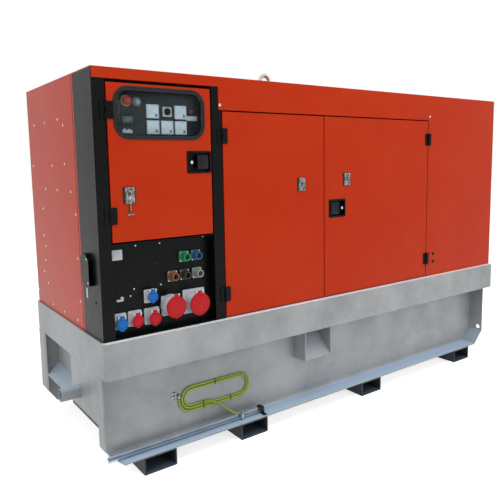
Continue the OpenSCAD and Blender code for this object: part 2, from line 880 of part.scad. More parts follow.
// Pocket under the rim: two cheeks and a sloped floor
module side_pocket() {
    x0 = 1365;
    cheek = 8;
    translate([x0, 0, 0]) {
        for (x = [0, pocket_w - cheek])
            translate([x, strip_y, -rim_h - pocket_h]) cube([cheek, strip_w, pocket_h]);
        translate([cheek - eps, 0, 0]) rotate([90, 0, 90])
            linear_extrude(pocket_w - 2 * cheek + 2 * eps) polygon([
                [strip_y, -rim_h - pocket_h], [tank_y, -rim_h - pocket_h + pocket_rise],
                [tank_y, -rim_h - pocket_h + pocket_rise + cheek * 1.3],
                [strip_y, -rim_h - pocket_h + cheek * 1.3]
            ]);
    }
}

module side_pockets() {
    color(zinc) placed() both_sides() side_pocket();
}

module drain_pipe() {
    l = pipe_reach;
    color(zinc) placed() translate([-rim_over_end - l, 410, -rim_h - 188]) difference() {
        bar_x(pipe_r, l);
        translate([-1, 0, 0]) bar_x(pipe_r - pipe_t, l - 9);
    }
}

// Cross-section earth rod that lies on the front strip's ledge
module earth_rod() {
    t = 4;
    color(chrome) placed() translate([rod_x, rod_y, ledge_z + rod_w / 2]) {
        translate([0, -rod_w / 2, -t / 2]) cube([rod_l, rod_w, t]);
        translate([0, -t / 2, -rod_w / 2]) cube([rod_l, t, rod_w]);
    }
}

// Points of the earth lead on the tank's front wall: along, out from the wall, and up from the deck
lead_route = [
    [476, 0, -462], [477, 0, -480], [483, 0, -503], [496, 0, -526], [514, 0, -542], [536, 0, -550],
    [560, 0, -553], [645, 0, -553], [735, 0, -553], [820, 0, -553], [905, 0, -553],
    [933, 0, -547], [957, 0, -532], [972, 0, -508], [978, 0, -480], [972, 0, -452], [957, 0, -428],
    [933, 0, -413], [905, 0, -407], [820, 0, -407], [735, 0, -407], [645, 0, -407], [560, 0, -407],
    [535, 0, -412], [513, 0, -426], [499, 0, -447], [494, 0, -472], [499, 0, -498], [513, 0, -519],
    [535, 0, -533], [560, 0, -538], [645, 0, -538], [735, 0, -538], [820, 0, -538], [905, 0, -538],
    [927, 0, -534], [946, 0, -521], [959, 0, -502], [963, 0, -480], [959, 0, -458], [946, 0, -439],
    [927, 0, -426], [905, 0, -422], [820, 0, -422], [735, 0, -422], [645, 0, -422], [560, 0, -422],
    [541, 0, -426], [524, 0, -437], [513, 0, -453], [510, 0, -472], [513, 0, -492], [524, 0, -508],
    [541, 0, -518], [560, 0, -522], [605, 0, -522], [650, 0, -522], [670, 4, -524], [688, 10, -528],
    [706, 15, -536], [724, 17, -546], [744, 17, -559], [765, 17, -574], [787, 21, -592],
    [808, 33, -610], [829, 46, -627], [850, 53, -637], [870, 53, -639]
];
lead_sides = 8;
lead_seat = 0.3;

function lead_point(p) = [p[0], tank_y - lead_r - lead_seat - p[1], p[2] + 690 - rim_h - tank_h];
lead_points = [for (p = lead_route) lead_point(p)];
lead_end = len(lead_points) - 1;
function unit(v) = v / norm(v);
function lead_dir(i) =
    unit(lead_points[min(i + 1, lead_end)] - lead_points[max(i - 1, 0)]);
function lead_ring(i) =
    let (t = i == 0 ? [0, 0, -1] : i == lead_end ? [1, 0, 0] : lead_dir(i),
         u = unit(cross(t, [0, 1, 0])),
         v = cross(u, t))
    [for (k = [0 : lead_sides - 1])
        lead_points[i] + lead_r * (cos(360 / lead_sides * k) * u + sin(360 / lead_sides * k) * v)];

// Swept tube of the hanked lead
module earth_lead() {
    n = lead_sides;
    color("#8fae2a") placed() polyhedron(
        points = [for (i = [0 : lead_end]) each lead_ring(i)],
        faces = concat(
            [[for (k = [0 : n - 1]) k]],
            [for (i = [0 : lead_end - 1], k = [0 : n - 1]) [
                i * n + k, (i + 1) * n + k, (i + 1) * n + (k + 1) % n, i * n + (k + 1) % n
            ]],
            [[for (k = [n - 1 : -1 : 0]) lead_end * n + k]]
        )
    );
}

// Strap on the front wall over the strands that lie between two heights
module lead_tie(x, z_low, z_high) {
    wall = 2;
    out = 2 * lead_r + 2 * clip_play;
    low = z_low - lead_r - clip_play;
    high = z_high + lead_r + clip_play;
    translate([x, tank_y - out - wall, low - wall]) difference() {
        cube([8, out + wall, high - low + 2 * wall]);
        translate([-1, wall, wall]) cube([10, out + 1, high - low]);
    }
}

// Clip over the earth rod, open below, with a foot of length toe on the ledge in front of it
module rod_clip(l, h, toe) {
    side = 6;
    w = rod_w + 2 * clip_play;
    translate([0, rod_y - w / 2 - side, ledge_z]) {
        difference() {
            cube([l, w + 2 * side, h]);
            translate([-1, side, -1]) cube([l + 2, w, rod_w + clip_play + 1]);
        }
        translate([0, -toe, 0]) cube([l, toe + eps, side]);
    }
}

// Rod clip, the lead's clamp on the rod, its lug and plate on the wall and its straps
module base_clips() {
    lead_z = 690 - rim_h - tank_h;
    color(black) placed() {
        translate([1020, 0, 0]) rod_clip(24, rod_w + 8, 30);
        translate([870, 0, 0]) rod_clip(18, rod_w + 14, 12);
        translate([466, tank_y - 16, lead_z - 462]) cube([20, 16, 30]);
        translate([428, tank_y - 5, lead_z - 462]) cube([38 + eps, 5, 48]);
        lead_tie(721, lead_z - 422, lead_z - 407);
        lead_tie(636, lead_z - 553, lead_z - 522);
        lead_tie(832, lead_z - 553, lead_z - 538);
    }
}

roof_panel();
door_header();
corner_post();
centre_post();
right_front_panel();
left_end_panel();
right_end_panel();
right_end_cover();
rear_wall();
lifting_eye();
side_hood();
canopy_fittings();
instrument_panel();
panel_meters();
panel_controls();
control_door();
window_gasket();
window_glass();
control_door_fittings();
control_door_hasp();
service_door_left();
left_door_fittings();
left_door_hasp();
service_door_right();
right_door_fittings();
right_door_hasp();
socket_panel();
socket_bodies();
power_connectors();
numbered_lid(0, "#1e5fa8");  // socket_lid_1
numbered_lid(1, "#a81e2a");  // socket_lid_2
numbered_lid(2, "#a81e2a");  // socket_lid_3
numbered_lid(3, "#1e5fa8");  // socket_lid_4
numbered_lid(4, "#a81e2a");  // socket_lid_5
numbered_lid(5, "#a81e2a");  // socket_lid_6
rim_frame();
tank_side_walls();
tank_left_end();
tank_right_end();
tank_floor();
skid_strips();
skid_feet();
side_pockets();
drain_pipe();
earth_rod();
base_clips();
earth_lead();
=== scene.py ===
from math import atan2, cos, pi, radians, sin, sqrt

import bmesh
import bpy
from mathutils import Matrix, Vector


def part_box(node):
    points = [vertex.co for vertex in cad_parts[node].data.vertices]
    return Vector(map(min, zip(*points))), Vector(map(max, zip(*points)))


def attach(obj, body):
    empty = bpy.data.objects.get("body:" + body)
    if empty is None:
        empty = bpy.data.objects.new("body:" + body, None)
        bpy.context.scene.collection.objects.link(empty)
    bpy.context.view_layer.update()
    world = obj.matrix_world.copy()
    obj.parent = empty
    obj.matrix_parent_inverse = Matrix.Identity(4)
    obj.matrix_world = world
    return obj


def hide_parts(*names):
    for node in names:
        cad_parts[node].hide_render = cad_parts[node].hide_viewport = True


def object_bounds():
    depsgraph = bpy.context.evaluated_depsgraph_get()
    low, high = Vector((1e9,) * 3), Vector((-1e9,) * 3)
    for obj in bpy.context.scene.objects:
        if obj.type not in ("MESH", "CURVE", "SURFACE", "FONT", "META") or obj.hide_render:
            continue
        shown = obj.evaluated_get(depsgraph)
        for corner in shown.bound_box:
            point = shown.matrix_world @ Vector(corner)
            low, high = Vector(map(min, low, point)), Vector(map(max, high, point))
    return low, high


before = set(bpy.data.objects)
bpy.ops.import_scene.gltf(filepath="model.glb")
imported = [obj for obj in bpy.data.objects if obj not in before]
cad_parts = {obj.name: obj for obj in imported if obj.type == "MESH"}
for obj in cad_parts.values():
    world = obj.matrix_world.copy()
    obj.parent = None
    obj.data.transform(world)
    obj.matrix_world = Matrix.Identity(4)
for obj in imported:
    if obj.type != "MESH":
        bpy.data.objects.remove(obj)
solid_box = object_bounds()


# ---------------------------------------------------------------- canopy skin
# Folded steel sheet over the engine, sprayed with orange powder and baked.
# The coat is deep and even, with a faint orange peel and a low satin shine.

def linear(hex_colour):
    """An sRGB hex colour as linear RGBA."""
    parts = [int(hex_colour[i:i + 2], 16) / 255 for i in (1, 3, 5)]
    return [c / 12.92 if c <= 0.04045 else ((c + 0.055) / 1.055) ** 2.4 for c in parts] + [1.0]


def add_node(holder, kind, settings=None, links=None):
    """Adds a shader node, with its inputs and properties set and its inputs linked."""
    node = holder.node_tree.nodes.new("ShaderNode" + kind)
    for key, value in (settings or {}).items():
        if key == "stops":
            ramp = node.color_ramp.elements
            for stop, (position, colour) in zip(ramp, value):
                stop.position = position
                stop.color = colour
        elif isinstance(key, int) or key in node.inputs:
            node.inputs[key].default_value = value
        else:
            setattr(node, key, value)
    for key, source in (links or {}).items():
        holder.node_tree.links.new(source, node.inputs[key])
    return node


def new_finish(name, settings):
    """A material with its Principled shader set."""
    material = bpy.data.materials.new(name)
    material.use_nodes = True
    shader = material.node_tree.nodes["Principled BSDF"]
    for key, value in settings.items():
        shader.inputs[key].default_value = value
    return material, shader


def feed(material, shader, colour, rough, normal):
    """Links the shader's colour, roughness and normal."""
    for socket, source in (("Base Color", colour), ("Roughness", rough), ("Normal", normal)):
        material.node_tree.links.new(source, shader.inputs[socket])


def coated_sheet(name, body, faded, rough):
    """Powder-coated sheet: cloudy colour, orange peel and softened folds."""
    material, shader = new_finish(name, {"IOR": 1.5, "Specular IOR Level": 0.1})
    spot = add_node(material, "TexCoord").outputs["Object"]
    # clouds about 350 mm across, where the coat has faded a little
    clouds = add_node(material, "TexNoise", {"Scale": 3.0, "Detail": 3.0}, {"Vector": spot})
    tone = add_node(material, "ValToRGB", {"stops": [(0.35, linear(body)), (0.75, linear(faded))]},
                    {"Fac": clouds.outputs["Fac"]})
    # hand marks and dust, 60 mm across, show only in the gloss
    smears = add_node(material, "TexNoise",
                      {"Scale": 17.0, "Detail": 5.0, "Roughness": 0.6}, {"Vector": spot})
    level = add_node(material, "MapRange", {"To Min": rough[0], "To Max": rough[1]},
                     {"Value": smears.outputs["Fac"]})
    # peel of 3 mm, drawn about twice its real size so that it shows
    skin = add_node(material, "TexNoise", {"Scale": 160.0, "Detail": 1.0}, {"Vector": spot})
    # folds bent 2.5 mm round
    fold = add_node(material, "Bevel", {"samples": 4, "Radius": 0.0025})
    bump = add_node(material, "Bump", {"Strength": 0.04, "Distance": 0.001},
                    {"Height": skin.outputs["Fac"], "Normal": fold.outputs["Normal"]})
    feed(material, shader, tone.outputs["Color"], level.outputs["Result"], bump.outputs["Normal"])
    return material


def clothe(material, *nodes):
    """Gives CAD nodes their finish."""
    for name in nodes:
        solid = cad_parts[name]
        for slot in solid.material_slots:
            slot.material = material
        if not len(solid.material_slots):
            solid.data.materials.append(material)


orange_powder_coat = coated_sheet("orange_powder_coat", "#B42C08", "#B8330C", (0.24, 0.36))
clothe(orange_powder_coat, "roof_panel", "door_header", "right_front_panel", "left_end_panel",
       "right_end_panel", "right_end_cover", "rear_wall", "control_door", "service_door_left",
       "service_door_right")


# ---------------------------------------------------------------- black frame
# The corner post, the post between the bays and both panels are the same sheet,
# sprayed in satin black. The hood over the finger hold is bolted to the post.

black_powder_coat = coated_sheet("black_powder_coat", "#08090A", "#0D0F10", (0.26, 0.4))
clothe(black_powder_coat, "corner_post", "centre_post", "socket_panel", "instrument_panel",
       "side_hood", "canopy_fittings", "control_door_fittings", "left_door_fittings",
       "right_door_fittings")


# ---------------------------------------------------------------- sheet fixings
# Pale zinc-plated button-head screws hold the end panel's battens and baffles.
# Each head is turned with a shallow recess and stands 3 mm off the sheet.

canopy_foot = Vector(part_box("corner_post")[0])
canopy_long = (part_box("roof_panel")[1][0] - canopy_foot.x) * 1000
canopy_deep = (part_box("roof_panel")[1][1] - canopy_foot.y) * 1000
# each side's own axes: right along the side, up, and out of it; the whole has the canopy's
SIDES = {
    "front": Matrix(((1, 0, 0, 0), (0, 0, -1, 0), (0, 1, 0, 0), (0, 0, 0, 1))),
    "left": Matrix(((0, 0, -1, 0), (-1, 0, 0, 0), (0, 1, 0, 0), (0, 0, 0, 1))),
    "rear": Matrix(((-1, 0, 0, 0), (0, 0, 1, canopy_deep), (0, 1, 0, 0), (0, 0, 0, 1))),
    "right": Matrix(((0, 0, 1, canopy_long), (1, 0, 0, 0), (0, 1, 0, 0), (0, 0, 0, 1))),
    "whole": Matrix.Identity(4),
}


def turned(bm, u, v, profile, sides=20, material=0):
    """Turns (radius, height) points about the outward axis at (u, v)."""
    rings = []
    for radius, height in profile:
        if radius == 0:
            rings.append([bm.verts.new((u, v, height))])
        else:
            rings.append([bm.verts.new((u + radius * cos(a), v + radius * sin(a), height))
                          for a in [2 * pi * k / sides for k in range(sides)]])
    for low, high in zip(rings, rings[1:]):
        for k in range(sides):
            loop = [low[k % len(low)], low[(k + 1) % len(low)],
                    high[(k + 1) % len(high)], high[k % len(high)]]
            corners = [vert for i, vert in enumerate(loop) if vert not in loop[:i]]
            if len(corners) > 2:
                bm.faces.new(corners).material_index = material
    for ring in (rings[0], rings[-1]):
        if len(ring) > 1:
            bm.faces.new(ring).material_index = material


def tube(bm, rings, colours):
    """Joins rings of points into a closed solid, whose sides take the material slots in turn."""
    count = len(rings[0])
    for low, high in zip(rings, rings[1:]):
        for k in range(count):
            loop = [low[k], low[(k + 1) % count], high[(k + 1) % count], high[k]]
            bm.faces.new(loop).material_index = colours[k % len(colours)]
    for ring in (rings[0], rings[-1]):
        bm.faces.new(ring).material_index = colours[-1]


def slab(bm, outline, low, high, edge=0.0, material=0):
    """Raises a flat outline from one height to another, with its top edge eased."""
    centre = Vector((sum(p[0] for p in outline), sum(p[1] for p in outline))) / len(outline)
    levels = [(low, 0.0), (high - edge, 0.0), (high, edge)] if edge else [(low, 0.0), (high, 0.0)]
    rings = []
    for height, inset in levels:
        ring = []
        for p in outline:
            arm = Vector(p) - centre
            short = [max(abs(c) - inset, 0.0) * (1 if c > 0 else -1) for c in arm]
            ring.append(bm.verts.new((centre.x + short[0], centre.y + short[1], height)))
        rings.append(ring)
    tube(bm, rings, [material])


def piece(name, bm, side, materials, body="canopy", replaces=()):
    """Sets a mesh drawn in millimetres on one side of the canopy and fixes it to its body."""
    bmesh.ops.recalc_face_normals(bm, faces=bm.faces)
    bm.transform(Matrix.Translation(canopy_foot) @ Matrix.Scale(0.001, 4) @ SIDES[side])
    mesh = bpy.data.meshes.new(name)
    bm.to_mesh(mesh)
    bm.free()
    for material in materials:
        mesh.materials.append(material)
    mesh.shade_smooth()
    mesh.set_sharp_from_angle(angle=radians(38))
    thing = bpy.data.objects.new(name, mesh)
    bpy.context.scene.collection.objects.link(thing)
    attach(thing, body)
    if replaces:
        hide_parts(*replaces)


def patches(material, scale, detail, stops, rough):
    """Patches of two tones, and a roughness that follows them."""
    spot = add_node(material, "TexCoord").outputs["Object"]
    noise = add_node(material, "TexNoise", {"Scale": scale, "Detail": detail}, {"Vector": spot})
    tone = add_node(material, "ValToRGB", {"stops": stops}, {"Fac": noise.outputs["Fac"]})
    level = add_node(material, "MapRange", {"To Min": rough[0], "To Max": rough[1]},
                     {"Value": noise.outputs["Fac"]})
    return tone.outputs["Color"], level.outputs["Result"]


def plated_metal(name, colour, rough, mottle, stain=None):
    """Bare or plated metal: a cloudy tone and shine, and softened corners."""
    material, shader = new_finish(name, {"Metallic": 1.0})
    bright = linear(colour)
    dull = linear(stain) if stain else [c * 0.8 for c in bright[:3]] + [1.0]
    tone, level = patches(material, mottle, 4.0, [(0.4, dull), (0.65, bright)], rough)
    corner = add_node(material, "Bevel", {"samples": 4, "Radius": 0.001})
    feed(material, shader, tone, level, corner.outputs["Normal"])
    return material


# bright zinc plate, a little yellowed, with a soft shine; the mottling is 8 mm across
bright_zinc_plate = plated_metal("bright_zinc_plate", "#D8D6D0", (0.2, 0.38), 120.0)

button_head = [(7.5, 0.0), (7.5, 1.0), (6.4, 2.4), (4.2, 3.2), (2.6, 3.2), (2.6, 1.6), (0, 1.6)]
bm = bmesh.new()
for y, z in ((1050, 1176), (814, 1178), (557, 1180), (466, 1142), (1124, 920), (709, 918),
             (471, 927), (870, 776), (635, 774), (391, 772), (948, 649), (322, 649), (969, 474),
             (940, 408), (969, 311), (1016, 232), (936, 165), (1162, 83), (857, 41), (625, 39),
             (389, 40), (322, 161), (330, 403)):
    turned(bm, -y, z, button_head, 12)
piece("end_panel_screws", bm, "left", [bright_zinc_plate])

# a bolt over each outer corner of the service doors
bolt_head = [(9, 0.0), (9, 1.5), (7, 3.4), (4, 4.2), (0, 4.4)]
bm = bmesh.new()
for x in (745, 2651):
    turned(bm, x, 1244, bolt_head, 16)
piece("header_bolts", bm, "front", [bright_zinc_plate])

# two grommets low on the panel beside the right door
grommet = [(13, 0.0), (13, 2.0), (11, 3.0), (9, 3.0), (8, 0.6), (0, 0.4)]
bm = bmesh.new()
for z in (175, 113):
    turned(bm, 2724, z, grommet, 20)
piece("drain_grommets", bm, "front", [black_powder_coat])


# ---------------------------------------------------------------- window
# A rubber profile grips the door's cut edge and the pane. It has a round bead
# outside and a filler strip pressed into its groove, which spreads the lips.

def soft_black(name, colour, rough, grit):
    """Rubber or textured film: dull, with dust in patches and a fine grain."""
    material, shader = new_finish(name, {"IOR": 1.5, "Specular IOR Level": 0.35})
    # dust in patches of 25 mm
    clean = linear(colour)
    dusty = [c * 1.5 + 0.004 for c in clean[:3]] + [1.0]
    tone, level = patches(material, 40.0, 6.0, [(0.4, clean), (0.8, dusty)],
                          (rough - 0.08, rough + 0.08))
    spot = add_node(material, "TexCoord").outputs["Object"]
    grain = add_node(material, "TexNoise", {"Scale": grit, "Detail": 1.0}, {"Vector": spot})
    bump = add_node(material, "Bump", {"Strength": 0.08, "Distance": 0.0006},
                    {"Height": grain.outputs["Fac"]})
    feed(material, shader, tone, level, bump.outputs["Normal"])
    return material


# extruded EPDM rubber: near black and almost without shine, with a grain of 1 mm; the hasps' pads
# and slots use it as painted shadow
rubber_and_painted_shadow = soft_black("rubber_and_painted_shadow", "#17181A", 0.55, 900.0)


def extent(node):
    """Both corners of a node's box in millimetres from the canopy's front left foot."""
    return [(Vector(corner) - canopy_foot) * 1000 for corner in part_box(node)]


def rounded(u0, v0, u1, v1, radius, steps=6):
    """Outline of a rectangle with round corners."""
    points = []
    for u, v, start in ((u1 - radius, v0 + radius, -90), (u1 - radius, v1 - radius, 0),
                        (u0 + radius, v1 - radius, 90), (u0 + radius, v0 + radius, 180)):
        for k in range(steps + 1):
            a = radians(start + 90 * k / steps)
            points.append((u + radius * cos(a), v + radius * sin(a)))
    return points


def frame_band(bm, box, radius, profile, steps):
    """Carries an (inset, height) profile round a rectangle with round corners."""
    u0, v0, u1, v1 = box
    rings = []
    for inset, height in profile:
        ring = rounded(u0 + inset, v0 + inset, u1 - inset, v1 - inset,
                       max(radius - inset, 0.2), steps)
        rings.append([bm.verts.new((u, v, height)) for u, v in ring])
    count = len(rings[0])
    for a in range(len(rings)):
        inner, outer = rings[a], rings[(a + 1) % len(rings)]
        for k in range(count):
            bm.faces.new([inner[k], inner[(k + 1) % count], outer[(k + 1) % count], outer[k]])


seal_low, seal_high = extent("window_gasket")
out, back = -seal_low.y, -seal_high.y
corner_radius = 84
bm = bmesh.new()
frame_band(bm, (seal_low.x, seal_low.z, seal_high.x, seal_high.z), corner_radius, [
    (0, back), (0, 0), (0.6, out * 0.45), (3, out * 0.85), (6.5, out), (9, out * 0.9),
    (10, out * 0.45), (12, out * 0.45), (13, out * 0.9), (16, out * 0.95), (20, out * 0.5),
    (22, 0), (22, back)], 10)
piece("window_seal", bm, "front", [rubber_and_painted_shadow], "control_door_leaf",
      ["window_gasket"])

# toughened clear glass, slightly green in its thickness, with little glare
window_pane, shader = new_finish("window_pane", {
    "IOR": 1.12, "Transmission Weight": 1.0, "Roughness": 0.02,
    "Specular IOR Level": 0.25, "Base Color": linear("#D6DEE2")})
clothe(window_pane, "window_glass")


# ---------------------------------------------------------------- instruments
# The set's panel is a folded sheet with an anti-glare facing. Five square meters
# are clipped in from the front, with a selector, a stop button and a key switch.

# both panels lie 60 mm behind the doors' faces, and what they carry is drawn up from them
SIDES["panel"] = SIDES["front"] @ Matrix.Translation((0, 0, -60))

# textured grey facing film over the black sheet, with a grain of 2 mm
facing_film = soft_black("facing_film", "#181B1D", 0.5, 500.0)
film_thick = 1.4
bm = bmesh.new()
slab(bm, rounded(100, 1056, 640, 1300, 14), 0, film_thick, 0.6)
piece("panel_facing", bm, "panel", [facing_film])


def moulded(name, colour, rough, cloud=0.9, glare=0.5):
    """Injection-moulded plastic: even colour with slight flow marks and scuffs."""
    material, shader = new_finish(name, {"IOR": 1.48, "Specular IOR Level": glare})
    # flow marks about 17 mm across
    bright = linear(colour)
    dull = [c * cloud for c in bright[:3]] + [1.0]
    tone, level = patches(material, 60.0, 4.0, [(0.35, dull), (0.7, bright)],
                          (rough - 0.06, rough + 0.1))
    corner = add_node(material, "Bevel", {"samples": 4, "Radius": 0.0012})
    feed(material, shader, tone, level, corner.outputs["Normal"])
    return material


# glass-filled nylon with a dull black skin, white scale card, grey print, pale satin bezels
black_nylon = moulded("black_nylon", "#111315", 0.42, 0.8, 0.25)
scale_card = moulded("scale_card", "#E4EAEE", 0.3, 0.98)
printed_grey = moulded("printed_grey", "#6C757C", 0.4)
clothe(moulded("meter_bezel", "#D4DCE2", 0.35, 0.95), "panel_meters")

meters = extent("panel_meters")[0]
side, gap, bezel = 72, 12, 6.5
scale_r, ticks, scale_start, scale_sweep = 33, 12, 93, 84


def pointing(degrees):
    """A unit arm at an angle, and the direction across it."""
    a = radians(degrees)
    return Vector((cos(a), sin(a))), Vector((-sin(a), cos(a)))


cards = bmesh.new()
marks = bmesh.new()
for column, row in ((0, 1), (2, 1), (0, 0), (1, 0), (2, 0)):
    u, v = meters.x + column * (side + gap), meters.z + row * (side + gap)
    right, top = u + side, v + side
    slab(cards, rounded(u + bezel, v + bezel, right - bezel, top - bezel, 2), 7.5, 8.8, 0.4)
    # the movement's small cover in the lower right corner and the adjusting screw
    slab(marks, rounded(right - 22, v + 9, right - 9, v + 22, 2), 8.6, 10.1, 0.5)
    turned(marks, u + 15, top - 15, [(1.6, 8.6), (1.6, 9.4), (0, 9.6)], 10)
    pivot = Vector((right - 15, v + 25))
    for k in range(ticks + 1):
        long, half = (3.0, 0.3) if k % 3 else (5.5, 0.5)
        arm, cross = pointing(scale_start + scale_sweep * k / ticks)
        near, far = pivot + arm * scale_r, pivot + arm * (scale_r + long)
        slab(marks, [near - cross * half, near + cross * half, far + cross * half,
                     far - cross * half], 8.7, 9.1)
    # the pointer rests near the low end of its scale
    arm, cross = pointing(168)
    slab(marks, [pivot - cross * 0.7, pivot + cross * 0.7, pivot + arm * 37], 9.4, 9.9)
piece("meter_cards", cards, "panel", [scale_card])
piece("meter_movements", marks, "panel", [printed_grey])

# signal red and yellow mouldings, grey bezels, clear lamp caps and a glossy screen
signal_red = moulded("signal_red", "#B5202A", 0.3)
signal_yellow = moulded("signal_yellow", "#C9A21C", 0.35)
lamp_green = moulded("lamp_green", "#5E7F4C", 0.25)
panel_grey = moulded("panel_grey", "#7E868B", 0.35)
light_grey_plastic = moulded("light_grey_plastic", "#C9CFD3", 0.42, 0.95)
screen_glass = moulded("screen_glass", "#4C5752", 0.12)
control_colours = [signal_red, signal_yellow, panel_grey, black_nylon, light_grey_plastic,
                   screen_glass, lamp_green]
RED, YELLOW, GREY, BLACK, PALE, SCREEN, GREEN = range(len(control_colours))

bm = bmesh.new()
# stop button: yellow ring and a mushroom head with three marks on it
u, v = 204, 1246
turned(bm, u, v, [(29, 0), (29, 2.8), (27, 3.6), (23.5, 3.8), (0, 3.8)], 32, YELLOW)
turned(bm, u, v, [(22, 3.6), (22, 5), (17, 7), (15, 13), (18, 13.6), (22.5, 16), (23.5, 20),
                  (21, 23.4), (14, 25.6), (0, 26.4)], 36, RED)
for k in range(3):
    arm, cross = pointing(90 + 120 * k)
    mark_u, mark_v = u + 11 * arm.x, v + 11 * arm.y
    slab(bm, rounded(mark_u - 3.5, mark_v - 1.2, mark_u + 3.5, mark_v + 1.2, 1), 24, 26.6, 0.3,
         YELLOW)
# key switch: grey collar, pale barrel and its slot
u, v = 264, 1243
turned(bm, u, v, [(24, 0), (24, 4), (22, 6), (19, 7), (18, 15), (16, 16), (13, 16), (12.6, 13),
                  (0, 13)], 32, GREY)
turned(bm, u, v, [(11, 12.8), (10.4, 17), (8, 19.6), (0, 20.8)], 24, PALE)
slab(bm, rounded(u - 1.4, v - 5, u + 1.4, v + 5, 1), 20.4, 21.1, 0.2, BLACK)
# selector: white plate, black escutcheon and knob
u, v = 441, 1198
slab(bm, rounded(413, 1172, 467, 1224, 3), 0, 4.2, 0.8, PALE)
turned(bm, u, v, [(20, 4), (20, 6), (18.5, 7), (0, 7)], 28, BLACK)
turned(bm, u, v, [(14, 6.8), (14, 15), (13, 16.4), (0, 16.4)], 24, BLACK)
slab(bm, rounded(u - 4.5, v - 17, u + 4.5, v + 17, 3), 16, 21.5, 1.0, BLACK)
# controller: black surround with its dull screen and three keys
slab(bm, rounded(170, 1122, 250, 1178, 4), 0, 5.5, 1.2, BLACK)
slab(bm, rounded(179, 1136, 237, 1166, 1.5), 5.3, 6.1, 0.3, SCREEN)
for k in range(3):
    turned(bm, 186 + 22 * k, 1129, [(4, 5.4), (4, 7.4), (3, 8), (0, 8)], 16, GREY)
# terminal strip with two clips on it, and a name plate left bare under a red lamp
slab(bm, rounded(174, 1079, 230, 1096, 1.5), 0, 12.4, 0.8, PALE)
slab(bm, rounded(184, 1095, 192, 1104, 1), film_thick, 10, 0.6, PALE)
slab(bm, rounded(210, 1095, 218, 1102, 1), film_thick, 10, 0.6, PALE)
slab(bm, rounded(556, 1154, 626, 1180, 1.5), 0, 4.2, 0.5, PALE)
turned(bm, 591, 1206, [(11, 0), (11, 3), (8.5, 4.4), (0, 4.4)], 24, RED)
# a column of eight signal lamps, 14 mm apart
for k in range(8):
    slab(bm, rounded(161, 1142 + 14 * k, 169, 1148 + 14 * k, 1.2), 1, 2.6, 0.4, GREEN)
piece("panel_fittings", bm, "panel", control_colours,
      replaces=["panel_controls"])


# ---------------------------------------------------------------- paddle latches
# A black pressed dish with a nylon paddle; the plated lock barrel sits beside it.
# The dish is clamped through the door by its rim, so no screw shows.

# bright chrome, hardly scuffed, in patches of 12 mm
chrome_barrel = plated_metal("chrome_barrel", "#E4E6E8", (0.1, 0.24), 80.0)
dish_wide, dish_high = 154, 122


def dress_latch(name, side_name, u0, v0, body, flip=False):
    """Rim bead, paddle with its lip and ribs, and lock barrel of one latch."""
    def plate(start, end, margin, radius, low, high, edge):
        u, u_end = sorted(u0 + (dish_wide - x if flip else x) for x in (start, end))
        slab(bm, rounded(u, v0 + margin, u_end, v0 + dish_high - margin, radius), low, high,
             edge, 1)
    bm = bmesh.new()
    frame_band(bm, (u0 - 0.4, v0 - 0.4, u0 + dish_wide + 0.4, v0 + dish_high + 0.4), 8.4,
               [(0, 0.2), (0, 2.6), (1.4, 4.4), (4, 4.8), (7, 4.2), (9, 2.8), (9, 0.2)], 5)
    plate(65, 135, 23, 5, 1.8, 4.4, 1.2)
    plate(65, 74, 25, 3, 4.2, 8.0, 2.0)
    for k in range(3):
        plate(84 + 8 * k, 87 + 8 * k, 33, 1, 4.2, 5.4, 0.5)
    u, v = u0 + (dish_wide - 31 if flip else 31), v0 + dish_high / 2
    turned(bm, u, v, [(14, -20), (14, -1.2), (12.5, 0.2), (10, 0.6), (9.6, -0.2), (0, -0.2)],
           28, 1)
    turned(bm, u, v, [(8.6, -0.4), (8.2, 1.2), (6.5, 2.0), (0, 2.2)], 24, 2)
    slab(bm, rounded(u - 0.9, v - 4, u + 0.9, v + 4, 0.6), 2.0, 2.5, 0, 1)
    piece(name, bm, side_name, [black_powder_coat, black_nylon, chrome_barrel], body)


control_door_end = extent("control_door")[1].x
right_latch_u, right_latch_v = 1591, 541
dress_latch("control_latch_trim", "front", control_door_end - 157, 863, "control_door_leaf")
dress_latch("right_latch_trim", "front", right_latch_u, right_latch_v, "right_service_door",
            flip=True)
dress_latch("rear_latch_trim", "rear", -right_latch_u - dish_wide, right_latch_v, "canopy")


# ---------------------------------------------------------------- padlock hasps
# Pressed steel hasps, bright zinc plated, each on a near-black pad that is painted
# shadow of the hasp on the door. The control door's one has a hanging tee bolt.

# the plating has gone grey in patches of 14 mm where hands and locks rub it
worn_zinc_plate = plated_metal("worn_zinc_plate", "#B2B2AE", (0.3, 0.5), 70.0, stain="#5F6262")
hasp_wide, hasp_high = 52, 84


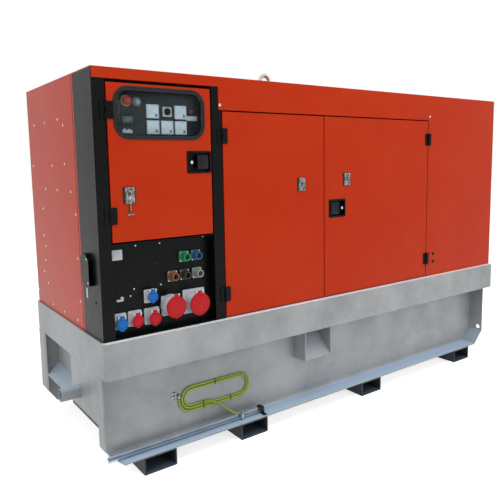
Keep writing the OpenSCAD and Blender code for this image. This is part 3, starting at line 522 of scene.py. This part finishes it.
def dress_hasp(name, node, body, v0=None, tee=False):
    """One hasp on a pad of painted shadow, in the place of the door's plain one."""
    place = extent(node)[0]
    u0, v0 = place.x, place.z if v0 is None else v0
    bm = bmesh.new()
    # near-black pad, 12 mm out on the left and 8 mm on the right, painted as the hasp's shadow on
    # the door
    slab(bm, rounded(u0 - 12, v0 - 2, u0 + hasp_wide + 8, v0 + hasp_high + 2, 5), 0, 2.2, 0.6, 1)
    # channel-shaped plate with folded sides, and between two beads a near-black patch painted as the
    # shade in its slot
    frame_band(bm, (u0, v0, u0 + hasp_wide, v0 + hasp_high), 5,
               [(0, 2.0), (0, 6.5), (1.5, 8.2), (5, 8.2), (8, 5.6), (9, 3.8), (10, 3.6),
                (10, 2.0)], 4)
    slab(bm, rounded(u0 + 9, v0 + 9, u0 + hasp_wide - 9, v0 + hasp_high - 9, 3), 2.0, 4.2, 0.5)
    slab(bm, rounded(u0 + 20, v0 + 30, u0 + 32, v0 + 58, 5), 4.0, 4.6, 0.2, 1)
    for v in (v0 + 19, v0 + 65):
        slab(bm, rounded(u0 + 14, v - 5, u0 + 38, v + 5, 4), 4.0, 7.5, 2.0)
        for u in (u0 + 14, u0 + 38):
            turned(bm, u, v, [(3.6, 4.0), (3.6, 6.4), (2.2, 7.4), (0, 7.6)], 12)
    if tee:
        slab(bm, rounded(u0 + 22.8, v0 - 57, u0 + 29.2, v0 + 34, 3.2), 4.0, 11.4, 2.4)
        slab(bm, rounded(u0 + 8, v0 - 61, u0 + 44, v0 - 53, 3.5), 3.8, 12.0, 3.0)
        turned(bm, u0 + hasp_wide / 2, v0 + 34,
               [(11, 4.0), (11, 11), (8, 13), (4, 13), (4, 9), (0, 9)], 20)
    piece(name, bm, "front", [worn_zinc_plate, rubber_and_painted_shadow], body, [node])


dress_hasp("tee_bolt_hasp", "control_door_hasp", "control_door_leaf", v0=716, tee=True)
dress_hasp("left_hasp", "left_door_hasp", "left_service_door")
dress_hasp("right_hasp", "right_door_hasp", "right_service_door")


# ---------------------------------------------------------------- socket panel
# The black sheet below the control door is held by plated screws. It carries a
# blank plate, a cable clip and the plugged holes of fittings that it doesn't use.

small_head = [(5.5, 0.0), (5.5, 0.8), (4.4, 2.2), (2.4, 2.8), (2.0, 1.6), (0, 1.6)]
bm = bmesh.new()
for u, v in ((224, 484), (243, 502), (367, 484), (452, 505), (645, 495), (367, 250), (83, 249),
             (206, 248), (184, 212)):
    turned(bm, u, v, small_head, 12)
piece("socket_panel_screws", bm, "panel", [bright_zinc_plate])

bm = bmesh.new()
slab(bm, rounded(87, 415, 147, 470, 3), 0, 1.6, 0.4)
for u, v in ((93, 421), (141, 421), (93, 464), (141, 464)):
    turned(bm, u, v, [(2.6, 1.4), (2.6, 2.4), (1.6, 3.1), (0, 3.2)], 10, 1)
# pale clip for a lead, a saddle on a flat foot
slab(bm, rounded(104, 190, 143, 202, 3), 0, 2.5, 0.6)
turned(bm, 133, 207, [(9.5, 0), (9.5, 7), (8, 8.5), (5, 8.5), (4.6, 2), (0, 2)], 20)
turned(bm, 111, 198, [(4, 2.3), (4, 4.3), (2.4, 5.2), (0, 5.2)], 12, 1)
# plugged holes
for u, v in ((189, 240), (214, 232), (176, 205), (352, 372), (338, 372)):
    turned(bm, u, v, [(5, 0), (5, 1.6), (3.5, 2.4), (0, 2.4)], 14, 2)
piece("socket_panel_trim", bm, "panel", [light_grey_plastic, bright_zinc_plate, black_nylon])

# blank plate and lock cover on the corner post's end face, and the hood's two screws
hood_thick = 24
hood_screw = [(radius, height + hood_thick) for radius, height in small_head]
bm = bmesh.new()
slab(bm, rounded(-218, 204, -198, 259, 2), 0, 1.2, 0.3)
turned(bm, -82, 199, [(9, 0), (9, 1.2), (7.5, 2.2), (5, 2.2), (4.5, 0.4), (0, 0.4)], 20, 1)
turned(bm, -128, 428, hood_screw, 12, 2)
turned(bm, -118, 302, hood_screw, 12, 2)
piece("post_trim", bm, "left", [light_grey_plastic, black_nylon, bright_zinc_plate])


# ---------------------------------------------------------------- lidded sockets
# Industrial sockets moulded in glass-filled nylon: a grey flange and collar, and
# a sprung lid in the colour of its voltage, turning on a steel pin in two ears.

# even colours with a low moulded shine, a little scuffed where plugs have knocked them
socket_grey = moulded("socket_grey", "#C6CCD0", 0.4, 0.93)
lid_blue = moulded("lid_blue", "#1766B6", 0.34, 0.88, 0.25)
lid_red = moulded("lid_red", "#B8121C", 0.34, 0.88, 0.25)
clothe(socket_grey, "socket_bodies")
clothe(lid_blue, "socket_lid_1", "socket_lid_4")
clothe(lid_red, "socket_lid_2", "socket_lid_3", "socket_lid_5", "socket_lid_6")

# each lid's colour, and the width, height and rise of the flange behind it
sockets = ((lid_blue, 80, 86, 9), (lid_red, 80, 86, 8), (lid_red, 90, 92, 8),
           (lid_blue, 72, 74, 0), (lid_red, 110, 114, -2), (lid_red, 142, 140, 6))
flange_screw = [(4.4, 7.9), (4.4, 9.2), (3, 10.2), (1.4, 10.2), (1.4, 9.2), (0, 9.2)]
screw_inset = 8
big_lid = 50
flange_screws = bmesh.new()
for number, (colour, wide, high, rise) in enumerate(sockets, 1):
    low, top = extent("socket_lid_%d" % number)
    r = (top.x - low.x) / 2
    u, v, face = low.x + r, low.z + r + 3, -low.y
    for a in (-1, 1):
        for b in (-1, 1):
            turned(flange_screws, u + a * (wide / 2 - screw_inset),
                   v + rise + b * (high / 2 - screw_inset), flange_screw, 12)
    # rolled bead, a boss at the middle and a ring of fine grip ribs, none at the hinge
    bm = bmesh.new()
    turned(bm, u, v, [(r - 10.5, face - 3.4), (r - 10.5, face - 2.3), (r - 12.5, face - 1.7),
                      (r - 14.5, face - 2.0), (r - 14.5, face - 3.0)], 48)
    turned(bm, u, v, [(r * 0.2, face - 0.4), (r * 0.19, face + 0.5), (r * 0.15, face + 0.8),
                      (0, face + 0.8)], 28)
    ribs = 60 if r > big_lid else 40
    for k in range(ribs):
        arm, cross = pointing(360 * k / ribs)
        if abs(atan2(arm.x, arm.y)) < 0.45:
            continue
        near, far = arm * (r - 1.5) + Vector((u, v)), arm * (r + 0.7) + Vector((u, v))
        slab(bm, [near - cross * 0.8, far - cross * 0.8, far + cross * 0.8, near + cross * 0.8],
             face - 11.5, face - 6.5)
    piece("lid_beads_%d" % number, bm, "front", [colour], "lid_%d" % number)
piece("socket_flange_screws", flange_screws, "panel", [bright_zinc_plate])


# ---------------------------------------------------------------- power connectors
# Single-pole panel connectors, one colour a phase. Each is a moulded flange with
# four plated screws and a keyed barrel, and its contact sits deep in the well.

half_flange, pitch_u, pitch_v = 31, 82, 104
# column and row of each, and the colour of its glass-filled nylon
phases = (
    (0.06, 0, moulded("phase_brown", "#7A5238", 0.42)),
    (1, 0, moulded("phase_black", "#2A2C2A", 0.4)),
    (2, 0, moulded("phase_grey", "#8B9188", 0.42)),
    (1, 1, moulded("earth_green", "#2C8156", 0.38)),
    (1.93, 1, moulded("neutral_blue", "#2C5680", 0.38)))
connectors = extent("power_connectors")[0]
first_u = connectors.x + half_flange - phases[0][0] * pitch_u
first_v = connectors.z + half_flange
# the barrel outside, then down its bore and up the contact
barrel = [(26, 7.8), (26, 16.5), (24.5, 18), (22, 18), (22, 36), (21, 37.5), (21, 43),
          (22, 44.5), (22, 48.8), (20.8, 50), (16.6, 50), (16, 49.2), (16, 26), (12, 26),
          (12, 10), (6, 10), (6, 24), (5, 25.6), (0, 25.6)]
screw = [(4.4, 7.9), (4.4, 9.4), (3, 10.6), (1.6, 10.6), (1.6, 9.4), (0, 9.4)]
for number, (column, row, colour) in enumerate(phases, 1):
    u, v = first_u + column * pitch_u, first_v + row * pitch_v
    bm = bmesh.new()
    slab(bm, rounded(u - half_flange, v - half_flange, u + half_flange, v + half_flange, 9),
         0, 8, 1.2)
    turned(bm, u, v, barrel, 36)
    # two locking keys in the bore
    for key_u in (u + 14.6, u - 14.6):
        slab(bm, rounded(key_u - 1.4, v - 3, key_u + 1.4, v + 3, 1), 27, 46, 0.5)
    for a in (-24, 24):
        for b in (-24, 24):
            turned(bm, u + a, v + b, screw, 12, 1)
    piece("power_connector_%d" % number, bm, "panel", [colour, bright_zinc_plate],
          replaces=["power_connectors"])


# ---------------------------------------------------------------- galvanised base
# The tray, the tank and the strips are welded from sheet and dipped whole in hot
# zinc. The coat is even and dull grey, with a bluish painted sky reflection on faces turned up.

def hot_dip_zinc(name, bright, dull, sky, rough, cover=None):
    """Hot-dip galvanised steel: soft clouds, a faint spangle and a painted sky reflection on top."""
    # its dull skin of zinc salts hides most of the metal's shine
    material, shader = new_finish(name, {"Metallic": 0.2, "Specular IOR Level": 0.3})
    spot = add_node(material, "TexCoord").outputs["Object"]
    # crystals about 40 mm across, hardly told apart, over clouds of 300 mm
    crystal = add_node(material, "TexVoronoi", {"Scale": 24.0}, {"Vector": spot})
    shade = add_node(material, "RGBToBW", {}, {"Color": crystal.outputs["Color"]})
    clouds = add_node(material, "TexNoise",
                      {"Scale": 3.2, "Detail": 5.0, "Roughness": 0.55}, {"Vector": spot})
    blend = add_node(material, "Math", {"operation": "MULTIPLY_ADD", 1: 0.07},
                     {0: shade.outputs["Val"], 2: clouds.outputs["Fac"]})
    tone = add_node(material, "ValToRGB", {"stops": [(0.35, linear(dull)), (0.7, linear(bright))]},
                    {"Fac": blend.outputs["Value"]})
    # folds carry a little more zinc, drawn 5 mm round, and upper faces take a painted sky reflection
    fold = add_node(material, "Bevel", {"samples": 4, "Radius": 0.005})
    facing = add_node(material, "SeparateXYZ", {}, {"Vector": fold.outputs["Normal"]})
    sky_reflection_mask = add_node(material, "MapRange", {"From Min": 0.6, "From Max": 0.98},
                      {"Value": facing.outputs["Z"]})
    pale = sky_reflection_mask.outputs["Result"]
    if cover:
        # no painted sky reflection under the cover, given by its half length and half depth in
        # metres
        place = add_node(material, "NewGeometry")
        away = add_node(material, "VectorMath", {"operation": "ABSOLUTE"},
                        {0: place.outputs["Position"]})
        share = add_node(material, "VectorMath", {"operation": "DIVIDE", 1: (*cover, 1.0)},
                         {0: away.outputs["Vector"]})
        part = add_node(material, "SeparateXYZ", {}, {"Vector": share.outputs["Vector"]})
        outer = add_node(material, "Math", {"operation": "MAXIMUM"},
                         {0: part.outputs["X"], 1: part.outputs["Y"]})
        bare = add_node(material, "MapRange", {"From Min": 0.98, "From Max": 0.995},
                        {"Value": outer.outputs["Value"]})
        both = add_node(material, "Math", {"operation": "MULTIPLY"},
                        {0: pale, 1: bare.outputs["Result"]})
        pale = both.outputs["Value"]
    # the sky colour is mixed into the upper faces as a painted sky reflection
    mixed = add_node(material, "Mix", {"data_type": "RGBA", 7: linear(sky)},
                     {0: pale, 6: tone.outputs["Color"]})
    level = add_node(material, "MapRange", {"To Min": rough[0], "To Max": rough[1]},
                     {"Value": blend.outputs["Value"]})
    # grains of 11 mm, where the zinc ran a little thick
    grain = add_node(material, "TexNoise", {"Scale": 90.0, "Detail": 3.0}, {"Vector": spot})
    bump = add_node(material, "Bump", {"Strength": 0.1, "Distance": 0.001},
                    {"Height": grain.outputs["Fac"], "Normal": fold.outputs["Normal"]})
    feed(material, shader, mixed.outputs[2], level.outputs["Result"], bump.outputs["Normal"])
    return material


zinc_bright, zinc_dull = "#A4A7A8", "#8B8F91"
# the tray's upper faces get a pale blue painted sky reflection
tray_zinc = hot_dip_zinc("tray_zinc", zinc_bright, zinc_dull, "#B7CDE4", (0.38, 0.55))
clothe(tray_zinc, "tank_right_end", "tank_floor", "drain_pipe")
# the rim's lip outside the canopy takes a near-white painted sky reflection, and the deck under it
# gets none
rim_zinc = hot_dip_zinc("rim_zinc", zinc_bright, zinc_dull, "#F2F7FC", (0.38, 0.55),
                        cover=(canopy_long / 2000, canopy_deep / 2000))
clothe(rim_zinc, "rim_frame")

wall_low, wall_high = extent("tank_side_walls")
strip_low, strip_high = extent("skid_strips")
wall_y, deck_low, base_low = wall_low.y, wall_high.z, wall_low.z
wall_plate, strip_plate = 6, 8
left_slope, right_slope = (60, 85), (105, 105)

# the side sheets, with both lower corners sloped
bm = bmesh.new()
side_view = [(wall_low.x, deck_low), (wall_low.x, base_low + left_slope[1]),
             (wall_low.x + left_slope[0], base_low), (wall_high.x - right_slope[0], base_low),
             (wall_high.x, base_low + right_slope[1]), (wall_high.x, deck_low)]
for y in (wall_y, canopy_deep - wall_y - wall_plate):
    slab(bm, side_view, -y - wall_plate, -y)
piece("tank_side_sheets", bm, "front", [tray_zinc], replaces=["tank_side_walls"])

# the left end: the recess with its sloped floor and lip, and a flush plate for the pipe
lip, recess_x, floor_rise, flush_end = deck_low - 291, 75, 70, 535
end_x = extent("tank_left_end")[0].x
slope_x, corner = end_x + lip - base_low, wall_plate * sqrt(2)
shell = [(recess_x, deck_low), (recess_x, lip + floor_rise), (end_x, lip + 4), (end_x, lip),
         (slope_x, base_low), (slope_x + corner, base_low),
         (slope_x + corner, base_low + wall_plate), (end_x + wall_plate + corner, lip + 4),
         (recess_x + wall_plate, lip + floor_rise - 4), (recess_x + wall_plate, deck_low)]
flush = [(recess_x, deck_low), (end_x, deck_low), (end_x, lip + 1), (recess_x, lip + floor_rise)]
bm = bmesh.new()
slab(bm, shell, wall_y + wall_plate - canopy_deep, -wall_y - wall_plate)
slab(bm, flush, -flush_end, -wall_y - wall_plate)
piece("tank_end_sheet", bm, "front", [tray_zinc], replaces=["tank_left_end"])


def along(bm, section, x0, x1, material=0):
    """Runs a (depth, height) section between two lengths, drawn from the right end."""
    slab(bm, section, x0 - canopy_long, x1 - canopy_long, 0, material)


def on_both_sides(section):
    """A (depth, height) section of the front side, and its mirror image on the rear side."""
    return section, [(canopy_deep - y, z) for y, z in section]


# the strips: a ledge with a slanted left end, a slope and an upright with a lashing hole
ledge_x, ledge_end, slant = wall_low.x + left_slope[0], wall_high.x - right_slope[0], 30
ledge, slope_z = base_low + strip_plate, base_low + right_slope[1]
fold = strip_plate * (sqrt(2) - 1)
ledge_side = [(ledge_x, base_low), (ledge_end, base_low), (wall_high.x, slope_z),
              (wall_high.x, slope_z + fold), (wall_high.x - strip_plate, slope_z + fold),
              (ledge_end - fold, ledge), (ledge_x, ledge)]
hole_r, hole_in, hole_up = 18, 36, 29
hole_z = slope_z + hole_up
bm, uprights = bmesh.new(), bmesh.new()
for outer_y, inner_y in ((strip_low.y, wall_y), (strip_high.y, canopy_deep - wall_y)):
    slab(bm, ledge_side, -max(outer_y, inner_y), -min(outer_y, inner_y))
    inward = 1 if inner_y > outer_y else -1
    hole = [(outer_y + inward * (hole_in + hole_r * cos(a)), hole_z + hole_r * sin(a))
            for a in [radians(15 * k) for k in range(25)]]
    # the outline runs in to the hole, round it and out again
    edge = [(inner_y, hole_z), (inner_y, slope_z + fold), (outer_y, slope_z + fold),
            (outer_y, deck_low), (inner_y, deck_low), (inner_y, hole_z)]
    along(uprights, edge + hole, wall_high.x - strip_plate, wall_high.x)
for vert in bm.verts:
    if vert.co.x < ledge_x + 1 and (vert.co.z > -strip_low.y - 1 or vert.co.z < 1 - strip_high.y):
        vert.co.x += slant
# the legs up the left end: the front one is narrow and lets the rod pass below it
front_leg_y, rear_leg_y = 31, 1058
leg_x, leg_z = wall_low.x + strip_plate, base_low + left_slope[1]
leg = [(wall_low.x, deck_low), (wall_low.x, leg_z), (leg_x, leg_z), (leg_x, deck_low)]
foot_slope = [(wall_low.x, leg_z + 1), (wall_low.x, leg_z), (ledge_x, base_low),
              (ledge_x + slant, base_low), (ledge_x + slant, ledge), (ledge_x + 3, ledge),
              (leg_x, leg_z + 1)]
slab(bm, leg, -wall_y, -front_leg_y)
slab(bm, leg, -strip_high.y, -rear_leg_y)
slab(bm, foot_slope, -strip_high.y, wall_y - canopy_deep)
piece("strip_ledges", bm, "front", [tray_zinc], replaces=["skid_strips"])
piece("strip_uprights", uprights, "right", [tray_zinc])

# pockets under the rim: two cheeks and a steep floor
pocket_low, pocket_high = extent("side_pockets")
cheek_plate, floor_plate, floor_top = 8, 10, pocket_low.z + 146
cheek = [(strip_low.y, pocket_low.z), (strip_low.y, deck_low), (wall_y, deck_low),
         (wall_y, pocket_low.z)]
pocket_floor = [(strip_low.y, pocket_low.z), (strip_low.y, pocket_low.z + floor_plate),
                (wall_y, floor_top), (wall_y, floor_top - floor_plate)]
cheek_end, cheek_start = pocket_low.x + cheek_plate, pocket_high.x - cheek_plate
bm = bmesh.new()
for outline, x0, x1 in ((cheek, pocket_low.x, cheek_end), (cheek, cheek_start, pocket_high.x),
                        (pocket_floor, cheek_end, cheek_start)):
    for section in on_both_sides(outline):
        along(bm, section, x0, x1)
piece("pocket_bins", bm, "right", [tray_zinc], replaces=["side_pockets"])

# fillets where the strips meet the walls, drawn from the strip's left end to its right slope
cove = 20
arc = [(wall_y - cove + cove * sin(a), ledge + cove - cove * cos(a))
       for a in [radians(15 * k) for k in range(7)]]
fillet = arc + [(wall_y + 1, ledge + cove), (wall_y + 1, ledge - 1), (wall_y - cove, ledge - 1)]
bm = bmesh.new()
for section in on_both_sides(fillet):
    along(bm, section, ledge_x + 4, ledge_end - 2)
piece("strip_fillets", bm, "right", [tray_zinc])


def weld_bead(bm, start, end, radius, ripple):
    """A rippled fillet bead along a line, drawn in the canopy's own millimetres."""
    start, end = Vector(start), Vector(end)
    axis = (end - start).normalized()
    first = axis.orthogonal().normalized()
    second = axis.cross(first)
    count = max(2, round((end - start).length / ripple))
    rings = []
    for k in range(count + 1):
        centre = start.lerp(end, k / count)
        r = radius * (0.82 if k % 2 else 1.0)
        rings.append([bm.verts.new(centre + r * (cos(a) * first + sin(a) * second))
                      for a in [pi * j / 3 for j in range(6)]])
    tube(bm, rings, [0])


# beads up the right uprights and down their slopes, and short ones inside the pockets' tops
bead_x, bead_z = wall_high.x - strip_plate - 1, slope_z + 4
bm = bmesh.new()
for y in (wall_y, canopy_deep - wall_y):
    weld_bead(bm, (bead_x, y, deck_low - 3), (bead_x, y, bead_z), 2.6, 8.0)
    weld_bead(bm, (bead_x, y, bead_z), (ledge_end - 4, y, ledge + 2), 2.6, 8.0)
    for x in (cheek_end - 1, cheek_start + 1):
        weld_bead(bm, (x, y, deck_low - 5), (x, y, deck_low - 36), 2.4, 6.0)
piece("tank_welds", bm, "whole", [tray_zinc])


# ---------------------------------------------------------------- skid feet
# Rectangular tube welded across the base for fork tines. It was galvanised
# before the rest; its near-black tone is painted shade from the tank above it.

# near-black zinc as painted shade under the tank, with a dark painted sky reflection on top
foot_zinc_painted_shade = hot_dip_zinc("foot_zinc_painted_shade", "#373E46", "#2A3037", "#4C5661", (0.45, 0.62))
clothe(foot_zinc_painted_shade, "skid_feet")
feet_x, foot_wide, bead_z = (192, 844, 1910, 3028), 200, base_low - 1
bm = bmesh.new()
for x in [foot_x + step for foot_x in feet_x for step in (0, foot_wide)]:
    for start, end in ((strip_low.y + 8, wall_y - 6),
                       (canopy_deep - wall_y + 6, strip_high.y - 8)):
        weld_bead(bm, (x, start, bead_z), (x, end, bead_z), 3.0, 6.0)
piece("foot_welds", bm, "whole", [foot_zinc_painted_shade])


# ---------------------------------------------------------------- earth rod and lead
# A galvanised cross-section rod lies on the strip, clipped in black plastic. Its
# green and yellow lead is hanked on the tank wall and tied with straps.

# drawn bar with a thin zinc coat, bluer and brighter than the tank's, patchy over 70 mm
rod_zinc = plated_metal("rod_zinc", "#A9B6C4", (0.3, 0.45), 14.0)
clothe(rod_zinc, "earth_rod")
rod_low, rod_high = extent("earth_rod")
clips_end = extent("base_clips")[1].x
clip_wall, clip_play = 6, 0.3
lead_r, lead_seat = 6.5, 0.3

bm = bmesh.new()
# the black clip at the rod's end and the lead's clamp bridge the rod and stand on a toe
for x, long, over, toe, material in ((clips_end - 24, 24, 8, 30, 0),
                                     (clips_end - 174, 14, 3, 8, 1)):
    y0, y1 = rod_low.y - clip_wall - clip_play, rod_high.y + clip_wall + clip_play
    top, roof = rod_high.z + over, rod_high.z + clip_play
    arch = [(y0 - toe, ledge), (y0 - toe, ledge + 5), (y0, ledge + 6), (y0, top - 4),
            (y0 + 4, top), (y1 - 4, top), (y1, top - 4), (y1, ledge), (y1 - clip_wall, ledge),
            (y1 - clip_wall, roof), (y0 + clip_wall, roof), (y0 + clip_wall, ledge)]
    along(bm, arch, x, x + long, material)
# the straps go round the hank's strands, given by their lowest and highest ones
strap_wide, strap_out, strap_over, tape = 5, 14.6, lead_r + 1.3, 1.2
for x, low, high in ((721, -422, -407), (636, -553, -522), (832, -553, -538)):
    y0, z0, z1 = wall_y - strap_out, low - strap_over, high + strap_over
    strap = [(wall_y, z0), (y0 + 2, z0), (y0, z0 + 3), (y0, z1 - 3), (y0 + 2, z1), (wall_y, z1),
             (wall_y, z1 - tape), (y0 + 2 * tape, z1 - tape), (y0 + tape, z1 - 3.4),
             (y0 + tape, z0 + 3.4), (y0 + 2 * tape, z0 + tape), (wall_y, z0 + tape)]
    along(bm, strap, x + 1, x + 1 + strap_wide)
piece("clips_and_straps", bm, "right", [black_nylon, rod_zinc],
      replaces=["base_clips"])

# crimped lug on a stud, over a plate welded to the wall
bm = bmesh.new()
slab(bm, rounded(429, -461, 466, -415, 7), -wall_y, 4.6 - wall_y, 1.0)
stud = [(12, 4.4), (12, 6), (9.5, 6.4), (9.5, 11), (7.5, 12.5), (0, 12.5)]
turned(bm, 447, -438, [(radius, height - wall_y) for radius, height in stud], 6)
slab(bm, rounded(455, -449, 485, -434, 3), 4.4 - wall_y, 7.4 - wall_y, 0.8)
slab(bm, rounded(467, -461, 485, -433, 4), 1 - wall_y, 15 - wall_y, 3.5)
piece("earth_lug", bm, "front", [worn_zinc_plate])

# PVC sheath in lime green with two yellow stripes, which read as one lime colour from afar
sheath_green = moulded("sheath_green", "#7E9430", 0.4)
sheath_yellow = moulded("sheath_yellow", "#A3AE3C", 0.4)

# the lead's points: along the wall, out from its seat on it, and up from the deck
route = [
    (476, 0, -462), (477, 0, -480), (483, 0, -503), (496, 0, -526), (514, 0, -542), (536, 0, -550),
    (560, 0, -553), (645, 0, -553), (735, 0, -553), (820, 0, -553), (905, 0, -553), (933, 0, -547),
    (957, 0, -532), (972, 0, -508), (978, 0, -480), (972, 0, -452), (957, 0, -428), (933, 0, -413),
    (905, 0, -407), (820, 0, -407), (735, 0, -407), (645, 0, -407), (560, 0, -407), (535, 0, -412),
    (513, 0, -426), (499, 0, -447), (494, 0, -472), (499, 0, -498), (513, 0, -519), (535, 0, -533),
    (560, 0, -538), (645, 0, -538), (735, 0, -538), (820, 0, -538), (905, 0, -538), (927, 0, -534),
    (946, 0, -521), (959, 0, -502), (963, 0, -480), (959, 0, -458), (946, 0, -439), (927, 0, -426),
    (905, 0, -422), (820, 0, -422), (735, 0, -422), (645, 0, -422), (560, 0, -422), (541, 0, -426),
    (524, 0, -437), (513, 0, -453), (510, 0, -472), (513, 0, -492), (524, 0, -508), (541, 0, -518),
    (560, 0, -522), (605, 0, -522), (650, 0, -522), (670, 4, -524), (688, 10, -528), (706, 15, -536),
    (724, 17, -546), (744, 17, -559), (765, 17, -574), (787, 21, -592), (808, 33, -610),
    (829, 46, -627), (850, 53, -637), (870, 53, -639)]
knots = [Vector((x, wall_y - lead_r - lead_seat - lift, z)) for x, lift, z in route]
# a smooth line through the knots, with a point about every 14 mm
line = []
for k in range(len(knots) - 1):
    p0, p1, p2 = knots[max(k - 1, 0)], knots[k], knots[k + 1]
    p3 = knots[min(k + 2, len(knots) - 1)]
    parts = max(2, round((p2 - p1).length / 14))
    for t in [j / parts for j in range(parts)]:
        line.append(0.5 * ((2 * p1) + (p2 - p0) * t + (2 * p0 - 5 * p1 + 4 * p2 - p3) * t * t
                           + (3 * p1 - p0 - 3 * p2 + p3) * t ** 3))
line.append(knots[-1])
# the stripes turn slowly round the lead
sheath_sides, twist = 12, 0.05
bm = bmesh.new()
rings = []
for k, centre in enumerate(line):
    axis = (line[min(k + 1, len(line) - 1)] - line[max(k - 1, 0)]).normalized()
    first = axis.cross(Vector((0, 1, 0))).normalized()
    second = first.cross(axis)
    rings.append([bm.verts.new(centre + lead_r * (cos(a) * first + sin(a) * second))
                  for a in [2 * pi * j / sheath_sides + twist * k for j in range(sheath_sides)]])
tube(bm, rings, [1, 1, 0, 0, 0, 0])
piece("earth_lead_sheath", bm, "whole", [sheath_green, sheath_yellow],
      replaces=["earth_lead"])


# ---------------------------------------------------------------- lifting eye
# One eye of bent steel bar lifts the whole set from over its centre of gravity. It
# stands on a foot plate on the roof and has the fixings' bright plating.

clothe(bright_zinc_plate, "lifting_eye")


# ---------------------------------------------------------------- studio
# Pale floor, even world light, large soft lamps in front, on the left and above,
# and one behind on the right that fills the two hidden sides.

def grey(level):
    """A linear grey."""
    return [level, level, level, 1.0]


def seen_directly(holder, low, high):
    """A strength that is high for rays from the lens, from a gloss and through glass."""
    path = add_node(holder, "LightPath")
    either = add_node(holder, "Math", {"operation": "MAXIMUM"},
                      {0: path.outputs["Is Camera Ray"], 1: path.outputs["Is Glossy Ray"]})
    direct = add_node(holder, "Math", {"operation": "MAXIMUM"},
                      {0: either.outputs["Value"], 1: path.outputs["Is Transmission Ray"]})
    strength = add_node(holder, "MapRange", {"To Min": low, "To Max": high},
                        {"Value": direct.outputs["Value"]})
    return strength.outputs["Result"]


floor_white, shader = new_finish("floor_white", {
    "Base Color": grey(0.8), "Roughness": 0.9, "Specular IOR Level": 0.1,
    "Emission Color": grey(1.0)})
floor_white.node_tree.links.new(seen_directly(floor_white, 0.0, 0.7),
                                shader.inputs["Emission Strength"])
floor_low, reach = solid_box[0][2], 40.0
floor_mesh = bpy.data.meshes.new("floor")
floor_mesh.from_pydata([(-reach, -reach, floor_low), (reach, -reach, floor_low),
                        (reach, reach, floor_low), (-reach, reach, floor_low)], [], [(0, 1, 2, 3)])
floor_mesh.materials.append(floor_white)
floor = bpy.data.objects.new("floor", floor_mesh)
bpy.context.scene.collection.objects.link(floor)

world = bpy.data.worlds.new("studio")
bpy.context.scene.world = world
world.use_nodes = True
world.node_tree.nodes.clear()
sky = add_node(world, "Background", {"Color": grey(1.0)},
               {"Strength": seen_directly(world, 0.45, 1.0)})
add_node(world, "OutputWorld", {}, {"Surface": sky.outputs["Background"]})


def soft_lamp(name, where, target, size, power):
    """A square lamp that lights the set without showing in its gloss."""
    data = bpy.data.lights.new(name, "AREA")
    data.shape = "SQUARE"
    data.size = size
    data.energy = power
    lamp = bpy.data.objects.new(name, data)
    lamp.location = where
    lamp.rotation_euler = (Vector(target) - Vector(where)).to_track_quat("-Z", "Y").to_euler()
    lamp.visible_glossy = False
    bpy.context.scene.collection.objects.link(lamp)


soft_lamp("front_lamp", (2.0, -7.5, 3.2), (0.3, 0, 0.8), 5.0, 145)
soft_lamp("left_lamp", (-7.5, -1.5, 4.0), (0, 0, 1.0), 4.0, 130)
soft_lamp("top_lamp", (0.0, -2.5, 7.5), (0, -0.6, 0), 5.0, 290)
soft_lamp("rear_lamp", (6.0, 7.0, 3.5), (0.3, 0, 0.9), 5.0, 170)

# set back at eye height, to the left of the doors
lens = bpy.data.cameras.new("camera")
lens.sensor_width = 36.0
lens.lens = 40.236
lens.shift_x = -0.00704
lens.shift_y = -0.03827
camera = bpy.data.objects.new("camera", lens)
camera.location = (-2.71916, -3.32096, 1.70395)
camera.rotation_euler = [radians(a) for a in (83.0747, 0.9365, -35.9661)]
bpy.context.scene.collection.objects.link(camera)
bpy.context.scene.camera = camera
bpy.context.scene.view_settings.view_transform = "Standard"
